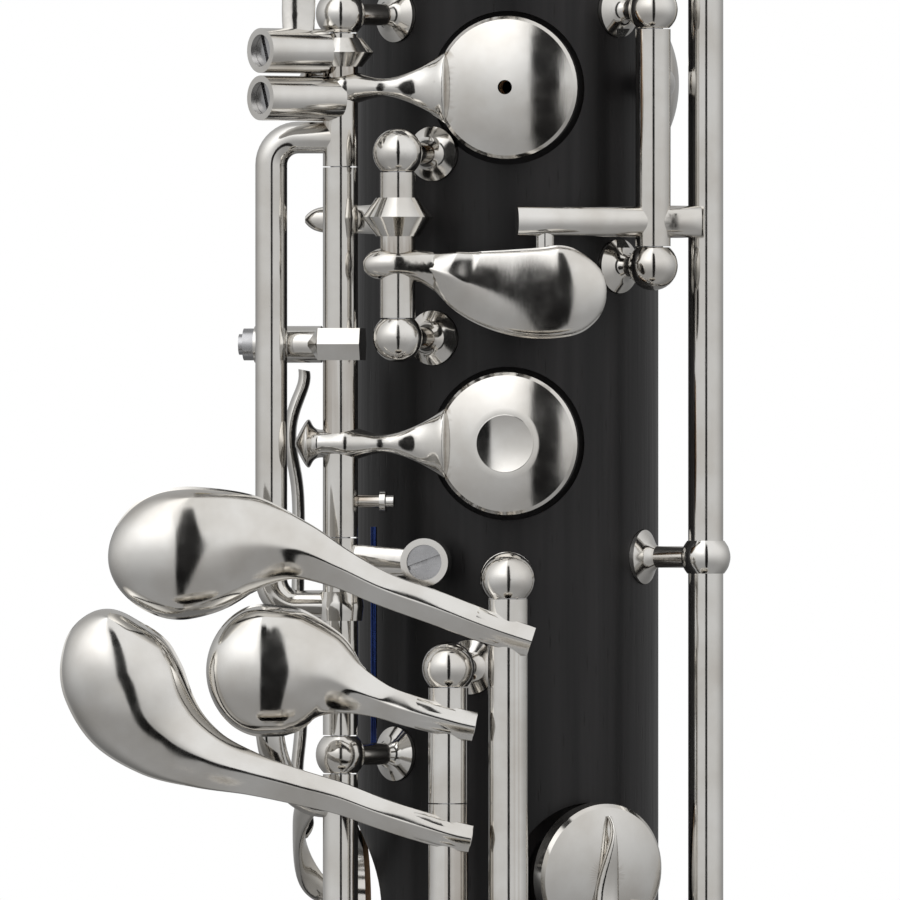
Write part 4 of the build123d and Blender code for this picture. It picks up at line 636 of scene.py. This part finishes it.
TOP_TOUCH = Touch(
    "top_touch_bowl", "top_touch", "top_touch_key", (0.0, -30.0),
    ((2.9, -23.8, 1.85, 1.9), (-2.0, -22.2, 2.0, 1.9), (-8.4, -19.8, 2.1, 1.6), (-15.9, -17.1, 2.1, 0.8),
     (-20.9, -14.7, 2.5, 0.4), (-26.0, -12.5, 3.7, 0.2), (-32.0, -11.7, 6.2, 0.0), (-38.3, -12.5, 8.05, 0.0),
     (-43.4, -13.3, 8.2, 0.0), (-49.4, -14.4, 7.6, 0.0)),
    left_out=Region((-60.0, -40.0, STACK - 27.0), (-3.4, -26.0, STACK + 2.0)),
)
MIDDLE_TOUCH = Touch(
    "middle_touch_bowl", "middle_touch", "middle_touch_key", (-7.41, -29.07),
    ((3.3, -34.4, 1.8, 1.9), (0.2, -33.7, 1.9, 1.9), (-4.7, -32.4, 2.0, 1.6), (-8.5, -31.1, 2.2, 1.0),
     (-12.2, -29.6, 3.4, 0.8), (-15.4, -28.2, 5.9, 0.8), (-18.9, -27.6, 7.8, 0.8), (-22.6, -27.4, 8.25, 0.8),
     (-26.4, -27.3, 8.3, 0.8), (-29.9, -27.2, 8.0, 0.8)), round_end=7.4,
    left_out=Region((-60.0, -40.0, STACK - 38.0), (-11.2, -26.0, STACK - 17.0)),
)
BOTTOM_TOUCH = Touch(
    "bottom_touch_bowl", "bottom_touch", "bottom_touch_key", (-7.41, -29.07),
    ((2.8, -48.3, 1.7, 1.9), (0.3, -47.8, 1.8, 1.9), (-3.5, -46.7, 1.9, 1.6), (-8.5, -45.1, 1.9, 1.0),
     (-13.4, -43.3, 2.0, 0.6), (-18.6, -41.9, 2.2, 0.4), (-24.6, -40.2, 2.7, 0.2), (-30.3, -38.3, 3.9, 0.2),
     (-35.1, -35.5, 5.8, 0.2), (-38.6, -31.9, 7.3, 0.2), (-41.2, -27.2, 7.4, 0.2), (-42.6, -23.2, 6.8, 0.2),
     (-43.2, -20.0, 6.2, 0.2)), round_end=8.6,
    arm=Section(1.6, 0.35, -0.3, -0.7), bowl=Section(3.9, -0.9, -1.25, -0.8),
    left_out=Region((-60.0, -40.0, STACK - 52.0), (-11.2, -26.0, STACK - 12.0)),
)
SPOON = Touch(
    "spoon_plate", "spoon", "middle_finger_spoon", (-13.7, -24.42),
    ((2.2, 23.0, 1.9, 0.4), (4.0, 22.6, 1.9, 0.8), (6.4, 21.8, 3.0, 1.2), (9.0, 20.8, 4.1, 1.2),
     (14.0, 19.7, 5.3, 1.2), (19.0, 19.6, 5.7, 1.2), (23.0, 20.4, 5.6, 1.2), (25.6, 21.2, 5.2, 1.2)),
    round_end=5.6,
    arm=Section(1.7, 0.2, -0.8, -1.2), bowl=Section(1.9, 0.1, -0.9, -0.9), narrow=1.9,
    left_out=Region((-9.4, -40.0, STACK + 10.0), (20.0, -20.0, STACK + 26.6)),
)
TOUCHES = (TOP_TOUCH, MIDDLE_TOUCH, BOTTOM_TOUCH, SPOON)


@dataclass(frozen=True)
class Dish:
    """The polished hollow in the middle of the ring finger's cup, lining the frame's own hollow."""

    middle: tuple[float, float, float] = (-0.326, -22.705, STACK + 0.8)
    turn: float = 8.18  # how far the cup stands open, degrees
    ball: float = 17.08
    radius: float = 3.55
    proud: float = 0.05  # how far it stands above the frame's hollow
    thick: float = 0.25
    lip: float = 0.06  # width of its rounded edge
    lip_drop: float = 0.02

    def dress(self) -> None:
        """Builds the lining, a part of a ball: height = ball - sqrt(ball^2 - r^2), and rides it on its key."""
        r = np.linspace(0.0, self.radius, 40)
        top = self.proud + self.ball - np.sqrt(self.ball**2 - r**2)
        under = r[::-8]
        outer = self.radius + self.lip
        profile = np.vstack([
            np.stack([r, top], axis=-1),
            [(outer, top[-1] - self.lip_drop), (outer, top[-1] - self.thick)],
            np.stack([under, np.full(len(under), -self.thick)], axis=-1),
            [(0.0, -self.thick)],
        ])
        a = math.radians(self.turn)
        out = np.array([-math.sin(a), -math.cos(a), 0.0])
        skin = turned(np.array(self.middle), out, profile)
        show(make_object("ring_finger_dish", [skin], Kind.SILVER.value, 20.0), "ring_finger", "silver")


# ---------------------------------------------------------------- the studio
@dataclass(frozen=True)
class Studio:
    """A pale floor, soft light all round, and a long lens before the right hand's keys."""

    distance: float = 2.5  # of the lens before the body's axis, metres
    seen: float = 0.1118  # width in view at the keys, metres
    middle: tuple[float, float] = (-0.0072, 0.4569)  # of the view, across and up, metres
    key_plane: float = -0.030  # depth of the keys, on the frame's own y, metres
    sensor: float = 36.0
    floor_reach: float = 15.0
    floor_lines: int = 9
    gap_middle: float = 3.0  # where the dark gap stands, degrees to the right of the front
    gap_inner: float = 5.6  # half width of its fully dark part, degrees
    gap_outer: float = 8.4  # half width to where it ends, degrees
    gap_depth: float = 0.975  # share of the light that it takes away
    lights: tuple[tuple[str, tuple[float, float, float], float, float], ...] = (
        ("soft_box_right", (0.42, -0.16, 0.80), 0.3, 3.0),
        ("soft_box_left", (-0.75, -0.55, 0.95), 0.6, 3.0),
    )  # name, place, side and power of each, in metres and watts

    def floor(self) -> None:
        """A wide sheet of floor: a grid whose height rises nowhere, z = 0."""
        reach = np.linspace(-self.floor_reach, self.floor_reach, self.floor_lines)
        x, y = np.meshgrid(reach, reach)
        grid = np.stack([x, y, np.zeros_like(x)], axis=-1)
        number = np.arange(x.size).reshape(x.shape)
        faces = np.stack([number[:-1, :-1], number[:-1, 1:], number[1:, 1:], number[1:, :-1]], axis=-1)
        mesh = bpy.data.meshes.new("floor")
        mesh.from_pydata(grid.reshape(-1, 3).tolist(), [], faces.reshape(-1, 4).tolist())
        sheet = finished(mesh, "floor", Kind.GROUND.value, 30.0)
        sheet.visible_glossy = False

    def camera(self) -> None:
        """The camera, square on to the fingers' side."""
        data = bpy.data.cameras.new("camera")
        data.sensor_width = self.sensor
        data.lens = self.sensor * (self.distance + self.key_plane) / self.seen
        data.clip_start, data.clip_end = 0.05, 100.0
        piece = bpy.data.objects.new("camera", data)
        piece.location = (self.middle[0], -self.distance, self.middle[1])
        piece.rotation_euler = (math.radians(90), 0, 0)
        bpy.context.scene.collection.objects.link(piece)
        bpy.context.scene.camera = piece

    def light(self) -> None:
        """White light from all round, with one narrow dark gap at the front where the lens stands."""
        world = bpy.data.worlds.new("studio")
        bpy.context.scene.world = world
        world.use_nodes = True
        nodes, links = world.node_tree.nodes, world.node_tree.links
        ground = nodes["Background"]
        ground.inputs["Strength"].default_value = 1.0
        way = nodes.new("ShaderNodeTexCoord").outputs["Generated"]
        split = nodes.new("ShaderNodeSeparateXYZ")
        links.new(way, split.inputs[0])

        def sum_of(kind: str, one: object, other: object = 0.0, third: object = 0.0) -> Socket:
            """One step of arithmetic on plain numbers or outputs."""
            node = nodes.new("ShaderNodeMath")
            node.operation = kind
            for socket, value in zip(node.inputs, (one, other, third)):
                if isinstance(value, Socket):
                    links.new(value, socket)
                else:
                    socket.default_value = value
            return node.outputs[0]

        def smooth(value: object, low: float, high: float, first: float, last: float) -> Socket:
            """An eased step from first to last as value goes from low to high."""
            node = nodes.new("ShaderNodeMapRange")
            node.interpolation_type = "SMOOTHSTEP"
            links.new(value, node.inputs["Value"])
            for name, number in (("From Min", low), ("From Max", high), ("To Min", first), ("To Max", last)):
                node.inputs[name].default_value = number
            return node.outputs["Result"]

        turn = sum_of("ARCTAN2", split.outputs["X"], sum_of("MULTIPLY", split.outputs["Y"], -1.0))
        height = split.outputs["Z"]
        off_gap = sum_of("ABSOLUTE", sum_of("SUBTRACT", turn, math.radians(self.gap_middle)))
        gap = smooth(off_gap, math.radians(self.gap_inner), math.radians(self.gap_outer), 1.0, 0.0)
        tall = sum_of("MULTIPLY", smooth(height, 0.82, 0.93, 1.0, 0.0), smooth(height, -0.97, -0.9, 0.0, 1.0))
        dark = sum_of("MULTIPLY", gap, tall)
        panel = smooth(height, -0.6, 0.5, 0.36, 0.92)
        left_light = sum_of("MULTIPLY", smooth(turn, -1.7, -0.35, 0.0, 1.0), smooth(turn, -0.3, 0.0, 1.0, 0.0))
        left_light = sum_of("MULTIPLY", left_light, smooth(height, 0.0, 0.55, 0.0, 0.7))
        panel = sum_of("ADD", panel, left_light)
        back = smooth(sum_of("ABSOLUTE", turn), math.radians(60), math.radians(150), 1.0, 0.5)
        level = sum_of("MULTIPLY", panel, back)
        level = sum_of("MULTIPLY", level, sum_of("SUBTRACT", 1.0, sum_of("MULTIPLY", dark, self.gap_depth)))
        seen = nodes.new("ShaderNodeLightPath").outputs["Is Camera Ray"]
        level = sum_of("MULTIPLY_ADD", seen, sum_of("SUBTRACT", 1.0, level), level)
        links.new(level, ground.inputs["Strength"])
        ground.inputs["Color"].default_value = (1.0, 1.0, 1.0, 1.0)
        for name, at, size, power in self.lights:
            self.soft_box(name, at, size, power)

    def soft_box(self, name: str, at: tuple[float, float, float], size: float, power: float) -> None:
        """A square soft light that faces the keys."""
        data = bpy.data.lights.new(name, "AREA")
        data.energy, data.size = power, size
        piece = bpy.data.objects.new(name, data)
        piece.location = at
        aim = np.array([0.0, 0.0, STACK * MM]) - np.array(at)
        piece.rotation_euler = (math.atan2(math.hypot(aim[0], aim[1]), -aim[2]), 0.0, math.atan2(-aim[0], aim[1]))
        piece.visible_glossy = False
        bpy.context.scene.collection.objects.link(piece)

    def build(self) -> None:
        """Floor, light, camera, and plain colour handling."""
        self.floor()
        self.light()
        self.camera()
        bpy.context.scene.view_settings.view_transform = "Standard"
        log.info("studio ready")


def main() -> None:
    """Builds the studio and every piece, in order."""
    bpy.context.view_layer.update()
    Studio().build()
    slots = {row["node"]: row["material_slot"] for row in frame["record"]["subparts"]}
    finer = {touch.node: touch.left_out for touch in TOUCHES}
    for node in sorted(frame["nodes"]):
        FramePiece(node, slots[node], finer.get(node)).dress()
    for touch in TOUCHES:
        touch.dress()
    Dish().dress()


if __name__ == "__main__":
    main()
